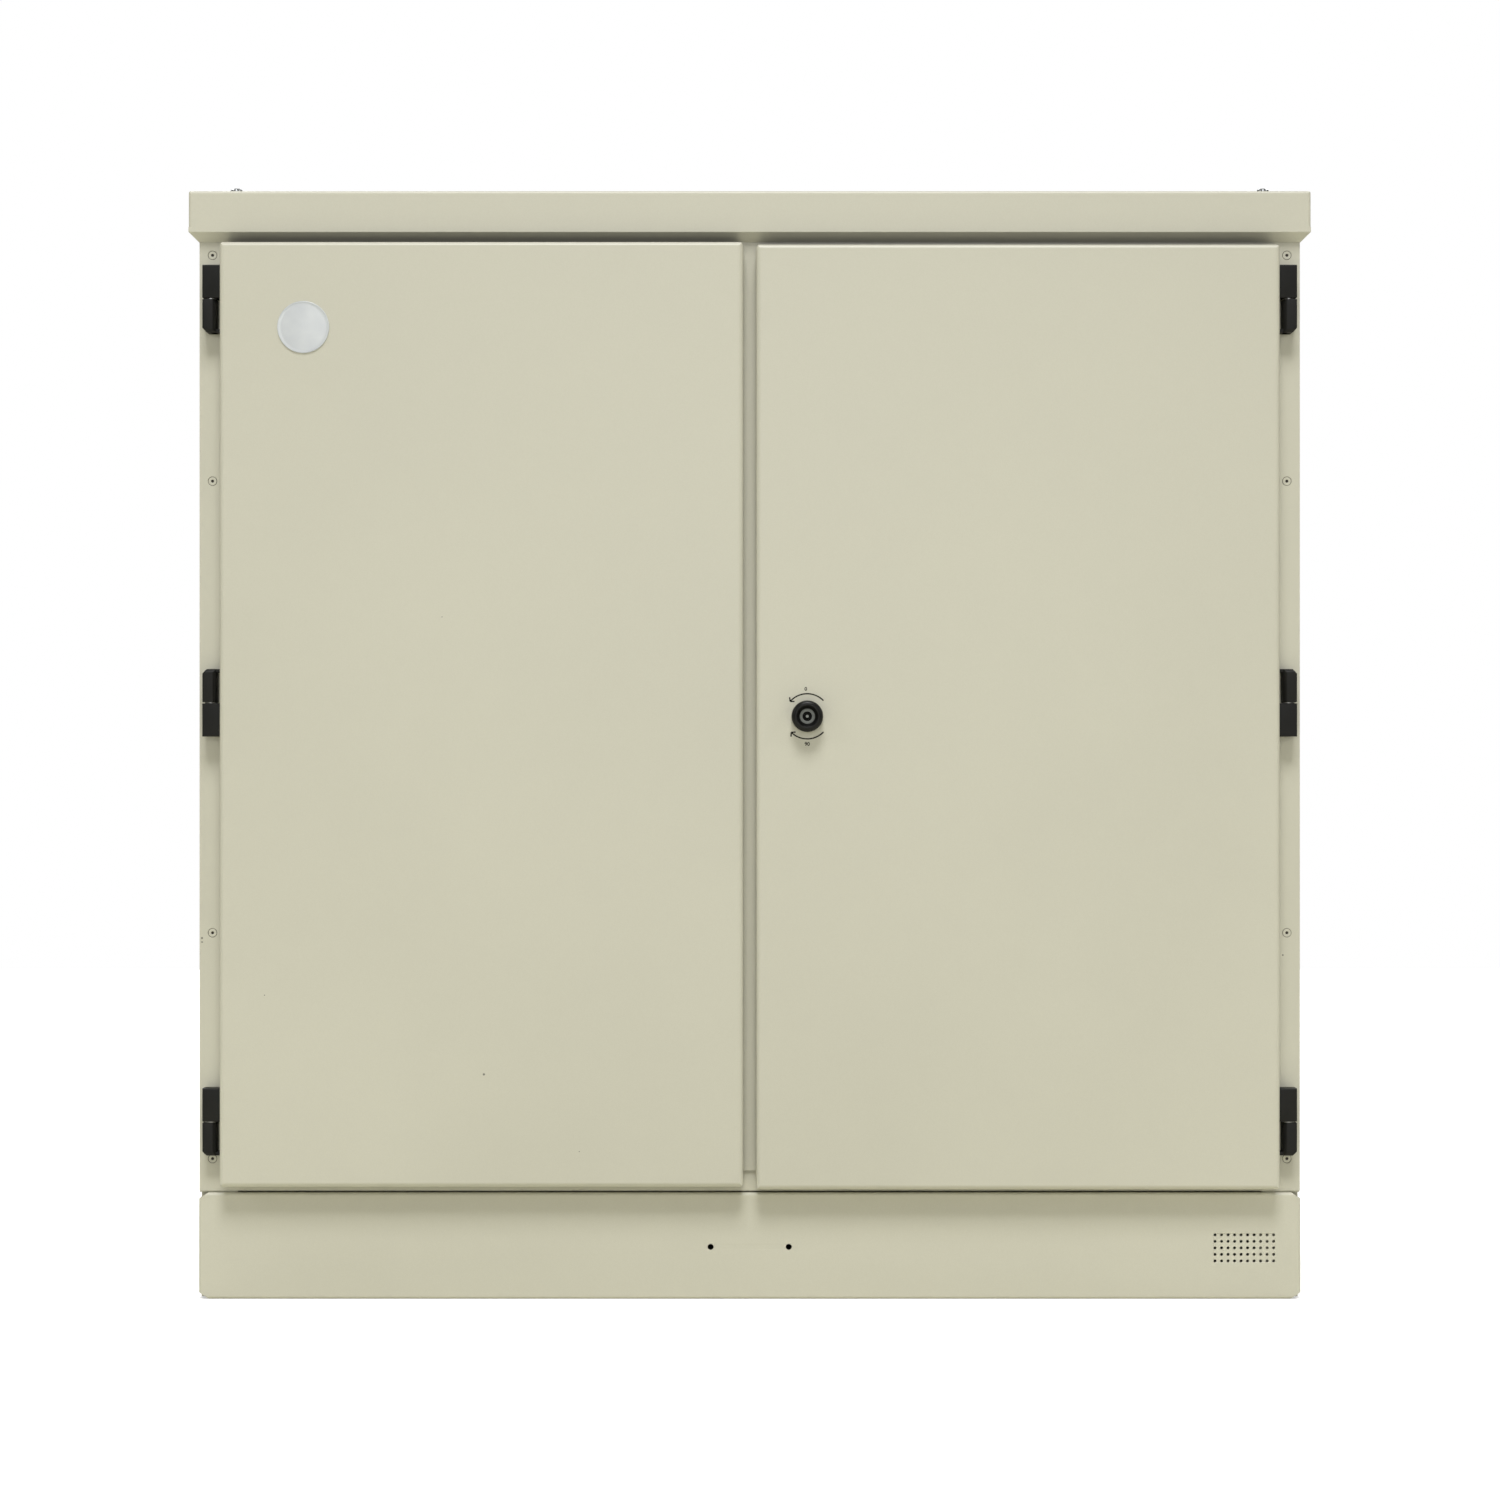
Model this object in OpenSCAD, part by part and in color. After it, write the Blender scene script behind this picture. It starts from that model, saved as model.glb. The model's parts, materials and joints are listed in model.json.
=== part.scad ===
// Roadside utility cabinet: a two-door sheet-metal housing on a plinth, with a rain roof,
// six lift-off hinges, a three-point lock on the right door and shoot bolts on the left one.
// Millimetres. +Z is up, the doors face -Y, and the origin is the middle of the anchor holes
// in the plane that the plinth stands on.

/* [Body] */
// Width of the housing
body_w = 1100; // [900:10:1320]
// Depth of the housing, from the face of its front frame to its back
body_d = 320; // [270:5:400]
// Height of the housing above the plinth, up to its own top panel
body_h = 985; // [800:5:1200]
// Thickness of the housing's sheet
sheet = 2; // [1.5:0.1:2.5]

/* [Plinth] */
// Height of the plinth
plinth_h = 106; // [85:1:160]
// Thickness of the plinth's steel
plinth_sheet = 3; // [2:0.5:4]
// How far the plinth's face stands in front of the housing's front frame
plinth_step = 5; // [0:1:10]
// Gap left under the front frame, so that water drains
plinth_gap = 1.5; // [0.5:0.5:4]
// Diameter of the anchor holes
anchor_hole_d = 14; // [10:1:20]
// Distance from the plinth's sides and back to the anchor holes
anchor_inset = 35; // [30:1:45]

/* [Roof] */
// How far the roof stands out past the housing, on every side
roof_overhang = 9.5; // [8:0.5:25]
// Height of the roof's upright edge
fascia_h = 41; // [25:1:60]
// Width and height of the sloping drip edge under it
drip = 9; // [4:1:14]
// Air gap between the housing's top panel and the roof
roof_air_gap = 12.5; // [8:0.5:25]

/* [Front frame] */
// Width of the frame's posts
post_w = 42; // [38:1:60]
// Height of the frame's lower rail
rail_h = 42; // [36:1:60]
// How far the rain lip round the openings stands forward
lip_h = 12; // [8:0.5:14]
// Width of the centre post
centre_post_w = 60; // [50:2:76]
// How far the centre post laps over the rails
centre_post_lap = 22; // [15:1:28]

/* [Doors] */
// Depth of a door
door_t = 22; // [18:1:30]
// Thickness of a door's sheet
door_sheet = 1.5; // [1.2:0.1:2]
// Outer radius of a door's bends
door_r = 4.5; // [3:0.5:8]
// Gap between the two doors
door_split = 13; // [9:1:18]
// Distance from the housing's side to the door's edge
door_side_gap = 24; // [22:1:30]
// Gap between the frame's face and the back edge of the doors
door_back_gap = 5; // [4:0.5:8]
// Gap between the roof's drip edge and the top of the left door
door_top_gap = 3.3; // [2:0.1:8]
// Gap between the plinth and the bottom of the left door
door_bottom_gap = 8.7; // [5:0.1:15]
// How much lower the right door hangs than the left one
right_door_drop = 2.5; // [0:0.5:4]
// How far the doors open, in degrees
door_opening = 110; // [90:5:110]
// Width of the foam seal in each door
seal_w = 16; // [12:1:20]

/* [Hinges] */
// Height of each hinge knuckle
knuckle_h = 33; // [25:1:45]
// Radius of the hinge pin
pin_r = 4; // [3:0.5:5]
// Running clearance between a pin and the door's knuckle
pin_clearance = 0.06; // [0.02:0.01:0.1]
// Distance from the left door's lower edge to the joint of the lowest hinge
hinge_bottom_inset = 63.3; // [50:0.1:120]
// Distance from the left door's upper edge to the joint of the highest hinge
hinge_top_inset = 55.2; // [50:0.1:120]
// How far the middle hinge lies above the middle of the other two
hinge_middle_raise = 7.5; // [-40:0.5:40]
// Distance from a door's edge to its hinge axis
hinge_offset = 10.5; // [9.5:0.5:12]

/* [Lock] */
// Distance from the edge of the right door to the lock
lock_inset = 50.5; // [46:0.5:80]
// How far the lock lies below the middle of the left door
lock_drop = 2; // [-60:1:60]
// Outer radius of the black lock bezel
bezel_r = 15.6; // [13:0.1:20]
// How far the bezel stands out of the door
bezel_h = 16; // [8:1:24]
// Distance from the lock's axis to the pins that drive the rods
crank_r = 18; // [16:0.5:22]
// Gap from the ends of the drawn-back rods to the edges of the opening
rod_end_gap = 5; // [3:0.5:10]

/* [Left door bolts] */
// Radius of a shoot bolt
bolt_r = 5; // [4:0.5:7]
// How far a shoot bolt slides
bolt_travel = 20; // [12:1:25]

/* [Door stays] */
// Distance from the hinge axis to the stay's pivot, and to its guide pin
stay_r = 130; // [115:1:150]
// Angle at the hinge between the pivot and the guide pin, with the door shut
stay_angle = 35; // [30:1:40]

/* [Fittings inside] */
// Distance between the middles of the outer and inner mounting rails of one bay
bay_pitch = 400; // [300:5:440]
// Distance between the fixing holes in the mounting rails
rail_hole_pitch = 100; // [50:10:120]
// Width of the cable slot in the floor, between its foam strips
cable_slot_w = 24; // [16:1:40]
// Distance from each end of the cable slot to the housing's side
cable_slot_inset = 130; // [100:5:250]

/* [Vent and cover holes] */
// Diameter of a vent hole
vent_d = 3; // [2:0.1:4]
// Distance between vent holes
vent_pitch = 6.5; // [5:0.1:9]
// Distance from the plinth's side to the nearest column of vent holes
vent_inset = 27; // [20:1:60]
// Height of the middle row of vent holes
vent_z = 51; // [30:1:70]
// Diameter of the two tool holes in the plinth cover
tool_hole_d = 6; // [4:0.5:8]
// Distance between them
tool_hole_pitch = 78; // [40:1:120]

/* [Hidden] */
$fn = 48;
eps = 0.01;

LEFT = -1;
RIGHT = 1;

// Colours
coat = "#cfccb8";
galvanised = "#b4b6b5";
black = "#262827";
zinc = "#9a9c9c";
foam = "#2f3030";
steel = "#8f9192";
brass = "#c7a455";

// Planes and levels of the housing
frame_y = -body_d / 2;
back_y = body_d / 2;
floor_z = plinth_h;
top_z = plinth_h + body_h;
roof_z = top_z + roof_air_gap + sheet;
drip_z = roof_z - fascia_h - drip;
bend_r = 3;

// Openings in the front frame
frame_bottom_z = floor_z + plinth_gap;
opening_bottom_z = floor_z + rail_h;
opening_top_z = drip_z - rail_h;
opening_half_w = body_w / 2 - post_w;
lip_y = frame_y - lip_h;
post_clearance = 1;

// Doors
door_back_y = frame_y - door_back_gap;
door_front_y = door_back_y - door_t;
door_inner_y = door_front_y + door_sheet;
door_w = body_w / 2 - door_side_gap - door_split / 2;
door_z = floor_z + door_bottom_gap;
door_h = drip_z - door_top_gap - door_z;
door_edge_x = body_w / 2 - door_side_gap;
door_return_w = 12;
seal_gap = 0.3;
seal_t = lip_y - seal_gap - door_inner_y;

// Hinges
hinge_x = door_edge_x + hinge_offset;
hinge_low = door_z + hinge_bottom_inset;
hinge_high = door_z + door_h - hinge_top_inset;
hinge_z = [hinge_low, (hinge_low + hinge_high) / 2 + hinge_middle_raise, hinge_high];
hinge_y = frame_y - 11;
knuckle_gap = 1.2;
collar_t = 1;
frame_knuckle_r = 7.2;
door_knuckle_r = 7.5;
door_knuckle_half_t = 8.5;
knuckle_bevel = 4.5;
pin_depth = 27;
hinge_screw_r = 2.5;
hinge_screw_pitch = 18;
hinge_screw_depth = 4.5;
hinge_screw_across = 8;
hinge_screw_head_h = 3.5;
screw_end_gap = 0.5;
hole_clearance = 0.1;

// Frame screws
frame_screw_r = 2.5;
frame_screw_head_r = 5;
frame_screw_x = body_w / 2 - 13;
frame_screw_count = 5;
frame_screw_end = 33.5;
frame_screw_top = drip_z - 13;

// Lock and its rods
lock_x = door_split / 2 + lock_inset;
lock_z = door_z + door_h / 2 - lock_drop;
lock_body_r = 11;
rotor_r = 6.5;
rotor_clearance = 0.06;
rotor_square = 8;
cam_t = 3;
cam_y = frame_y;
cam_clearance = 0.5;
cam_disc_r = crank_r + 5;
tongue_w = 18;
tongue_reach = lock_x - 17;
crank_pin_r = 3;
crank_play = 0.8;
rod_t = 4;
rod_y = cam_y + cam_t + 4;
rod_w = 16;
rod_plate_x0 = 6.2;
rod_plate_w = crank_r + crank_pin_r + 3.5 - rod_plate_x0;
rod_joggle_z = 26;
guide_clearance = 0.4;

// Left door bolts
bolt_x = -lock_x;
bolt_y = rod_y + rod_t / 2 - 1;
bolt_len = 84;
bolt_clearance = 0.06;
bolt_stem_r = 3;
bolt_eye_h = 9;
bolt_eye_gap = 1;

// Door stays
stay_t = 3;
stay_w = 15;
stay_z = opening_top_z - 27;
stay_pivot_y = 21;
stay_pin_r = 4;
stay_play = 0.4;
stay_pivot_a = asin(stay_pivot_y / stay_r);
stay_guide_a = stay_pivot_a + stay_angle;
stay_near = 2 * stay_r * sin(stay_angle / 2);
stay_far = 2 * stay_r * sin((stay_angle + door_opening) / 2);
stay_direction = 90 + (stay_pivot_a + stay_guide_a) / 2;
stay_guide_drop = 10;

// Plinth cover
cover_depth = 18;
cover_corner_w = 9;
cover_corner_h = 6;
plinth_front_y = frame_y - plinth_step;
plinth_back_y = back_y + plinth_step;
plinth_flange = 60;

// Rails inside
mount_rail_w = 40;
mount_rail_d = 22;
mount_rail_t = 2;
mount_rail_z0 = floor_z + 44;
mount_rail_h = body_h - 110;
mount_hole_r = 3.5;
rail_flange = 14;
rail_outer_x = (body_w - 2 * sheet) / 4 + bay_pitch / 2;
rail_inner_x = (body_w - 2 * sheet) / 4 - bay_pitch / 2;
rail_face_y = back_y - sheet - mount_rail_d;
clamp_bar_z = floor_z + 70;
clamp_bar_h = 30;
clamp_foot_t = 3;
rail_hole_z0 = clamp_bar_z + clamp_bar_h + 31.5;
rail_hole_room = mount_rail_z0 + mount_rail_h - 30 - rail_hole_z0;
rail_hole_count = floor(rail_hole_room / rail_hole_pitch) + 1;
rail_bolt_r = 3;
rail_bolt_inset = 18;

// ---------------------------------------------------------------- shared shapes

// A box given by its two corners.
module block(a, b) {
    translate(a) cube(b - a);
}

// A rectangle with rounded corners, from the origin.
module rounded_rect(w, h, r) {
    translate([r, 0]) square([w - 2 * r, h]);
    translate([0, r]) square([w, h - 2 * r]);
    for (x = [r, w - r], y = [r, h - r]) translate([x, y]) circle(r);
}

// A rectangle from the origin whose two corners on the lower edge are rounded.
module front_rounded(w, h, r) {
    translate([r, 0]) square([w - 2 * r, h]);
    translate([0, r]) square([w, h - r]);
    for (x = [r, w - r]) translate([x, r]) circle(r);
}

// A block with its front face at y = 0, rounded along all the edges of that face and at its corners.
module soft_block(w, t, h, r) {
    intersection() {
        translate([0, t, 0]) rotate([90, 0, 0]) linear_extrude(t) rounded_rect(w, h, r);
        linear_extrude(h) front_rounded(w, t, r);
        rotate([90, 0, 90]) linear_extrude(w) rotate(90) mirror([0, 1]) front_rounded(h, t, r);
    }
}

// A cylinder along +Y from y0 to y1.
module y_rod(r, x, z, y0, y1) {
    translate([x, y0, z]) rotate([-90, 0, 0]) cylinder(r = r, h = y1 - y0);
}

// A hexagon along +Y.
module y_hex(across, x, z, y0, y1) {
    translate([x, y0, z]) rotate([-90, 0, 0]) cylinder(r = across / sqrt(3), h = y1 - y0, $fn = 6);
}

// ---------------------------------------------------------------- plinth

// Anchor hole centres.
anchor_x = body_w / 2 - anchor_inset;
anchor_y = plinth_back_y - anchor_inset;

module plinth_ring(z, cut) {
    difference() {
        block([-body_w / 2, plinth_front_y + cover_depth, z],
              [body_w / 2, plinth_back_y, z + plinth_sheet]);
        block([-body_w / 2 + cut, plinth_front_y + cover_depth + cut, z - 1],
              [body_w / 2 - cut, plinth_back_y - cut, z + plinth_sheet + 1]);
    }
}

module plinth_frame() {
    y0 = plinth_front_y + cover_depth;
    color(coat) difference() {
        union() {
            plinth_ring(0, plinth_flange);
            plinth_ring(plinth_h - plinth_sheet, plinth_flange);
            for (s = [LEFT, RIGHT]) {
                block([s * body_w / 2 - (s > 0 ? plinth_sheet : 0), y0, 0],
                      [s * body_w / 2 + (s > 0 ? 0 : plinth_sheet), plinth_back_y, plinth_h]);
                // Front returns, which the cover screws against
                block([s > 0 ? body_w / 2 - 40 : -body_w / 2, y0, 0],
                      [s > 0 ? body_w / 2 : -body_w / 2 + 40, y0 + plinth_sheet, plinth_h]);
            }
            block([-body_w / 2, plinth_back_y - plinth_sheet, 0], [body_w / 2, plinth_back_y, plinth_h]);
        }
        for (x = [-anchor_x, anchor_x], y = [-anchor_y, anchor_y])
            translate([x, y, -1]) cylinder(r = anchor_hole_d / 2, h = plinth_sheet + 2);
        for (p = plinth_bolt_places)
            translate([p[0], p[1], plinth_h - plinth_sheet - 1])
                cylinder(r = plinth_bolt_r + hole_clearance, h = plinth_sheet + 2);
    }
}

// The cover's face, with its corners cut off where the four flanges part.
module cover_face() {
    w = body_w;
    h = plinth_h;
    c = cover_corner_w;
    e = cover_corner_h;
    polygon([[c, 0], [w - c, 0], [w, e], [w, h - e], [w - c, h], [c, h], [0, h - e], [0, e]]);
}

module plinth_cover() {
    r = bend_r;
    color(coat) translate([-body_w / 2, plinth_front_y, 0]) difference() {
        intersection() {
            soft_block(body_w, cover_depth, plinth_h, r);
            union() {
                translate([0, cover_depth, 0]) rotate([90, 0, 0]) linear_extrude(cover_depth) cover_face();
                // The flanges run as far as the cut corners
                block([cover_corner_w, 0, 0], [body_w - cover_corner_w, cover_depth, plinth_h]);
            }
        }
        // Inside of the tray
        translate([sheet, sheet, sheet])
            soft_block(body_w - 2 * sheet, cover_depth, plinth_h - 2 * sheet, r - 1);
        // The corners where the flanges are relieved
        for (x = [-1, body_w - cover_corner_w], z = [-1, plinth_h - cover_corner_h])
            block([x, sheet + 1, z], [x + cover_corner_w + 1, cover_depth + 1, z + cover_corner_h + 1]);
        for (x = [-1, 1])
            y_rod(tool_hole_d / 2, body_w / 2 + x * tool_hole_pitch / 2, vent_z + 1, -1, sheet + 1);
        for (i = [0:9], j = [-2:2])
            y_rod(vent_d / 2, body_w - vent_inset - i * vent_pitch, vent_z + j * vent_pitch,
                  -1, sheet + 1);
    }
}

// Bolts that hold the housing down on the plinth, put in from above.
plinth_bolt_r = 5;
plinth_bolt_head_h = 6.4;
plinth_bolt_x = body_w / 2 - 24;
plinth_bolt_ys = [frame_y + 40, back_y - 22];
plinth_bolt_places = [
    for (x = [-plinth_bolt_x, plinth_bolt_x], y = plinth_bolt_ys) [x, y],
    [0, plinth_bolt_ys[1]]
];
plinth_nut_h = 8;
plinth_bolt_across = 17;
panel_flange = 38;

module plinth_bolts() {
    hex_r = plinth_bolt_across / sqrt(3);
    nut_z = floor_z - plinth_sheet - plinth_nut_h;
    color(zinc) for (p = plinth_bolt_places) translate([p[0], p[1], 0]) {
        translate([0, 0, floor_z + sheet]) cylinder(r = hex_r, h = plinth_bolt_head_h, $fn = 6);
        translate([0, 0, nut_z - 3]) cylinder(r = plinth_bolt_r, h = floor_z + sheet + 1 - nut_z + 3);
        translate([0, 0, nut_z]) cylinder(r = hex_r, h = plinth_nut_h, $fn = 6);
    }
}

// ---------------------------------------------------------------- housing

// One side panel: a sheet with flanges turned in at the front, the bottom, the back and the top.
module side_panel(s) {
    y0 = frame_y + sheet;
    y1 = back_y - sheet;
    front_flange = 25;
    color(coat) mirror([s > 0 ? 0 : 1, 0, 0]) difference() {
        union() {
            block([body_w / 2 - sheet, y0, floor_z], [body_w / 2, y1, top_z]);
            block([body_w / 2 - front_flange, y0, floor_z], [body_w / 2, y0 + sheet, top_z]);
            block([body_w / 2 - panel_flange, y0, floor_z], [body_w / 2, y1, floor_z + sheet]);
            block([body_w / 2 - 20, y1 - sheet, floor_z], [body_w / 2, y1, top_z]);
            block([body_w / 2 - 20, y0, top_z - 2 * sheet], [body_w / 2, y1, top_z - sheet]);
        }
        block([body_w / 2 - panel_flange - 1, y0 - 1, top_z - sheet],
              [body_w / 2 + 1, y1 + 1, top_z + 1]);
        for (z = frame_screw_zs) y_rod(frame_screw_r, frame_screw_x, z, y0 - 1, y0 + sheet + 1);
        for (k = [0:2], d = [-1, 1])
            y_rod(hinge_screw_r + hole_clearance, hinge_x, frame_screw_of_knuckle_z(k, d),
                  y0 - 1, y0 + sheet + 1);
        for (y = plinth_bolt_ys)
            translate([plinth_bolt_x, y, floor_z - 1])
                cylinder(r = plinth_bolt_r + hole_clearance, h = sheet + 2);
    }
}

// The back: a sheet with a flange turned in at the bottom.
module rear_panel() {
    y1 = back_y - sheet;
    inner = body_w / 2 - panel_flange - 1;
    color(coat) difference() {
        union() {
            block([-body_w / 2, y1, floor_z], [body_w / 2, back_y, top_z - sheet]);
            block([-inner, back_y - panel_flange, floor_z], [inner, back_y, floor_z + sheet]);
        }
        for (x = rail_xs, z = rail_bolt_zs, d = [-1, 1])
            y_rod(rail_bolt_r + hole_clearance, x + d * rail_bolt_off, z, y1 - 1, back_y + 1);
        translate([0, plinth_bolt_ys[1], floor_z - 1])
            cylinder(r = plinth_bolt_r + hole_clearance, h = sheet + 2);
    }
}

// The housing's own top, under the roof, with its edges turned down over the back.
module top_panel() {
    color(coat) difference() {
        union() {
            block([-body_w / 2, frame_y + sheet, top_z - sheet], [body_w / 2, back_y, top_z]);
            block([-body_w / 2 + 30, back_y - 2 * sheet, top_z - 25],
                  [body_w / 2 - 30, back_y - sheet, top_z]);
        }
        for (x = roof_stud_xs, y = roof_stud_ys)
            translate([x, y, top_z - sheet - 1]) cylinder(r = roof_stud_r + hole_clearance, h = sheet + 2);
    }
}

frame_screw_zs = [for (i = [0:frame_screw_count - 1])
    floor_z + frame_screw_end
        + i * (frame_screw_top - floor_z - frame_screw_end) / (frame_screw_count - 1)];

// The ring round the door opening, with a rain lip turned forward along the opening's edge.
module front_frame() {
    y1 = frame_y + sheet;
    notch = centre_post_w / 2 + post_clearance;
    color(coat) difference() {
        union() {
            block([-body_w / 2, frame_y, frame_bottom_z], [body_w / 2, y1, top_z]);
            block([-opening_half_w - sheet, lip_y, opening_bottom_z - sheet],
                  [opening_half_w + sheet, y1, opening_top_z + sheet]);
        }
        block([-opening_half_w, lip_y - 1, opening_bottom_z], [opening_half_w, y1 + 1, opening_top_z]);
        // The lip stops at the centre post
        block([-notch, lip_y - 1, opening_bottom_z - sheet - 1],
              [notch, frame_y, opening_top_z + sheet + 1]);
        for (s = [LEFT, RIGHT]) {
            for (z = frame_screw_zs) {
                y_rod(frame_screw_r, s * frame_screw_x, z, frame_y - 1, y1 + 1);
                translate([s * frame_screw_x, frame_y - eps, z]) rotate([-90, 0, 0])
                    cylinder(r1 = frame_screw_head_r, r2 = frame_screw_r, h = sheet - 0.2);
            }
            for (k = [0:2], d = [-1, 1])
                y_rod(hinge_screw_r + hole_clearance, s * hinge_x, frame_screw_of_knuckle_z(k, d),
                      frame_y - 1, y1 + 1);
        }
        for (z = centre_post_screw_zs, x = [-12, 12])
            y_rod(centre_post_screw_r, x, z, frame_y - 1, y1 + 1);
    }
}

// Countersunk screws down both posts, with a small security socket.
module frame_screws() {
    color(coat) for (s = [LEFT, RIGHT], z = frame_screw_zs) {
        difference() {
            union() {
                translate([s * frame_screw_x, frame_y, z]) rotate([-90, 0, 0])
                    cylinder(r1 = frame_screw_head_r - 0.05, r2 = frame_screw_r - 0.05, h = sheet - 0.3);
                y_rod(frame_screw_r - 0.05, s * frame_screw_x, z, frame_y + sheet - 0.4, frame_y + 12);
            }
            y_hex(2.6, s * frame_screw_x, z, frame_y - 1, frame_y + 1.6);
        }
    }
}

// ---------------------------------------------------------------- centre post

centre_post_screw_r = 3;
centre_post_z0 = opening_bottom_z - centre_post_lap + 2;
centre_post_z1 = opening_top_z + centre_post_lap + 4;
centre_post_screw_zs = [centre_post_z0 + 11, centre_post_z1 - 11];
centre_post_y = frame_y - 0.5;

// A removable post between the doors: a flat face with a rain lip on each edge and a stiff rib behind.
module centre_post() {
    half = centre_post_w / 2;
    y0 = centre_post_y - sheet;
    rib = 10;
    rib_depth = 16;
    color(coat) difference() {
        union() {
            block([-half, y0, centre_post_z0], [half, centre_post_y, centre_post_z1]);
            for (x = [-half, half - sheet])
                block([x, lip_y, opening_bottom_z + 1], [x + sheet, centre_post_y, opening_top_z - 1]);
            difference() {
                block([-rib, centre_post_y - eps, opening_bottom_z + 4],
                      [rib, centre_post_y + rib_depth, opening_top_z - 4]);
                block([-rib + sheet, centre_post_y - 1, opening_bottom_z - 1],
                      [rib - sheet, centre_post_y + rib_depth - sheet, opening_top_z + 1]);
            }
        }
        for (z = centre_post_screw_zs, x = [-12, 12])
            y_rod(centre_post_screw_r + hole_clearance, x, z, y0 - 1, centre_post_y + 1);
    }
}

module centre_post_screws() {
    y0 = centre_post_y - sheet;
    color(zinc) for (z = centre_post_screw_zs, x = [-12, 12]) difference() {
        union() {
            y_rod(5, x, z, y0 - 2, y0);
            y_rod(centre_post_screw_r, x, z, y0 - eps, frame_y + 10);
        }
        y_hex(3, x, z, y0 - 3, y0 - 0.6);
    }
}

// ---------------------------------------------------------------- floor

floor_plate_z = floor_z + sheet + plinth_bolt_head_h + 1;
floor_plate_inset = 4;
floor_foam_w = 22;
floor_foam_t = 16;

// A half of the floor: a plate on folded legs that stand on the housing's bottom flanges.
module floor_plate(s) {
    x1 = body_w / 2 - sheet - floor_plate_inset;
    y_far = back_y - 3 * sheet - floor_plate_inset;
    y_near = cable_slot_w / 2 + floor_foam_w;
    z0 = floor_z + sheet;
    z1 = floor_plate_z;
    color(galvanised) mirror([0, s > 0 ? 0 : 1, 0]) {
        block([-x1, y_near, z1], [x1, y_far, z1 + sheet]);
        // The plate's edge along the cable slot is turned down
        block([-x1, y_near, z1 - 6], [x1, y_near + sheet, z1 + sheet]);
        // Legs at both ends
        for (x = [-x1, x1 - sheet]) block([x, y_near, z0], [x + sheet, y_far, z1 + sheet]);
    }
}

// A foam strip on each plate's edge, closing round the cables, with foam filling the slot's ends.
module cable_slot_seal() {
    x1 = body_w / 2 - cable_slot_inset;
    z0 = floor_plate_z + sheet / 2 - floor_foam_t / 2;
    y0 = cable_slot_w / 2;
    end_x = body_w / 2 - sheet - floor_plate_inset - sheet - 1;
    color(foam) difference() {
        block([-end_x, -y0 - floor_foam_w, z0], [end_x, y0 + floor_foam_w, z0 + floor_foam_t]);
        block([-x1, -y0, z0 - 1], [x1, y0, z0 + floor_foam_t + 1]);
    }
}

// ---------------------------------------------------------------- roof

roof_w = body_w + 2 * roof_overhang;
roof_d = body_d + 2 * roof_overhang;
roof_r = 3;
roof_stud_r = 4;
roof_washer_t = 1.2;
roof_head_r = 5.8;
roof_head_h = 7.3;
roof_stud_inset = 41.5;
roof_stud_xs = [-roof_w / 2 + roof_stud_inset, roof_w / 2 - roof_stud_inset];
roof_stud_ys = [-roof_d / 2 + roof_stud_inset, roof_d / 2 - roof_stud_inset];

// The drip edge's section along one side: a slope that ends clear of the housing.
module drip_profile() {
    t = sheet * sqrt(2);
    top = drip + t + 2;
    polygon([[0, drip], [drip, 0], [drip, t], [sheet, drip + t - sheet], [sheet, top], [0, top]]);
}

module roof_cap() {
    w = roof_w;
    d = roof_d;
    h = fascia_h;
    z0 = roof_z - h;
    color(coat) difference() {
        union() {
            difference() {
                // Outer form: rounded along the top edges and the upright corners
                translate([0, 0, z0]) intersection() {
                    translate([-w / 2, -d / 2, 0]) linear_extrude(h) rounded_rect(w, d, roof_r);
                    translate([w / 2, -d / 2, 0]) rotate([90, 0, -90]) linear_extrude(w)
                        mirror([1, 0]) translate([0, h]) mirror([0, 1]) front_rounded(d, h, roof_r);
                    translate([-w / 2, d / 2, 0]) rotate([90, 0, 0]) linear_extrude(d)
                        translate([0, h]) mirror([0, 1]) front_rounded(w, h, roof_r);
                }
                block([-w / 2 + sheet, -d / 2 + sheet, z0 - 1],
                      [w / 2 - sheet, d / 2 - sheet, roof_z - sheet]);
            }
            // Sloping drip edges, mitred at the corners
            intersection() {
                roof_wedge();
                union() {
                    for (m = [0, 1]) {
                        mirror([0, m, 0]) translate([-w / 2, -d / 2, drip_z])
                            rotate([90, 0, 90]) linear_extrude(w) drip_profile();
                        mirror([m, 0, 0]) translate([-w / 2, d / 2, drip_z])
                            rotate([90, 0, 0]) linear_extrude(d) drip_profile();
                    }
                }
            }
        }
        for (x = roof_stud_xs, y = roof_stud_ys)
            translate([x, y, roof_z - sheet - 1]) cylinder(r = roof_stud_r + hole_clearance, h = sheet + 2);
    }
}

// The space inside the roof's outer surface around the drip edge: a frustum narrowing downwards.
module roof_wedge() {
    w = roof_w / 2;
    d = roof_d / 2;
    a = drip_z;
    b = drip_z + drip;
    c = drip_z + drip + 6;
    polyhedron(
        points = [
            [-w + drip, -d + drip, a], [w - drip, -d + drip, a],
            [w - drip, d - drip, a], [-w + drip, d - drip, a],
            [-w, -d, b], [w, -d, b], [w, d, b], [-w, d, b],
            [-w, -d, c], [w, -d, c], [w, d, c], [-w, d, c]
        ],
        faces = [
            [0, 1, 2, 3],
            [4, 5, 1, 0], [5, 6, 2, 1], [6, 7, 3, 2], [7, 4, 0, 3],
            [8, 9, 5, 4], [9, 10, 6, 5], [10, 11, 7, 6], [11, 8, 4, 7],
            [11, 10, 9, 8]
        ]);
}

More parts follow.
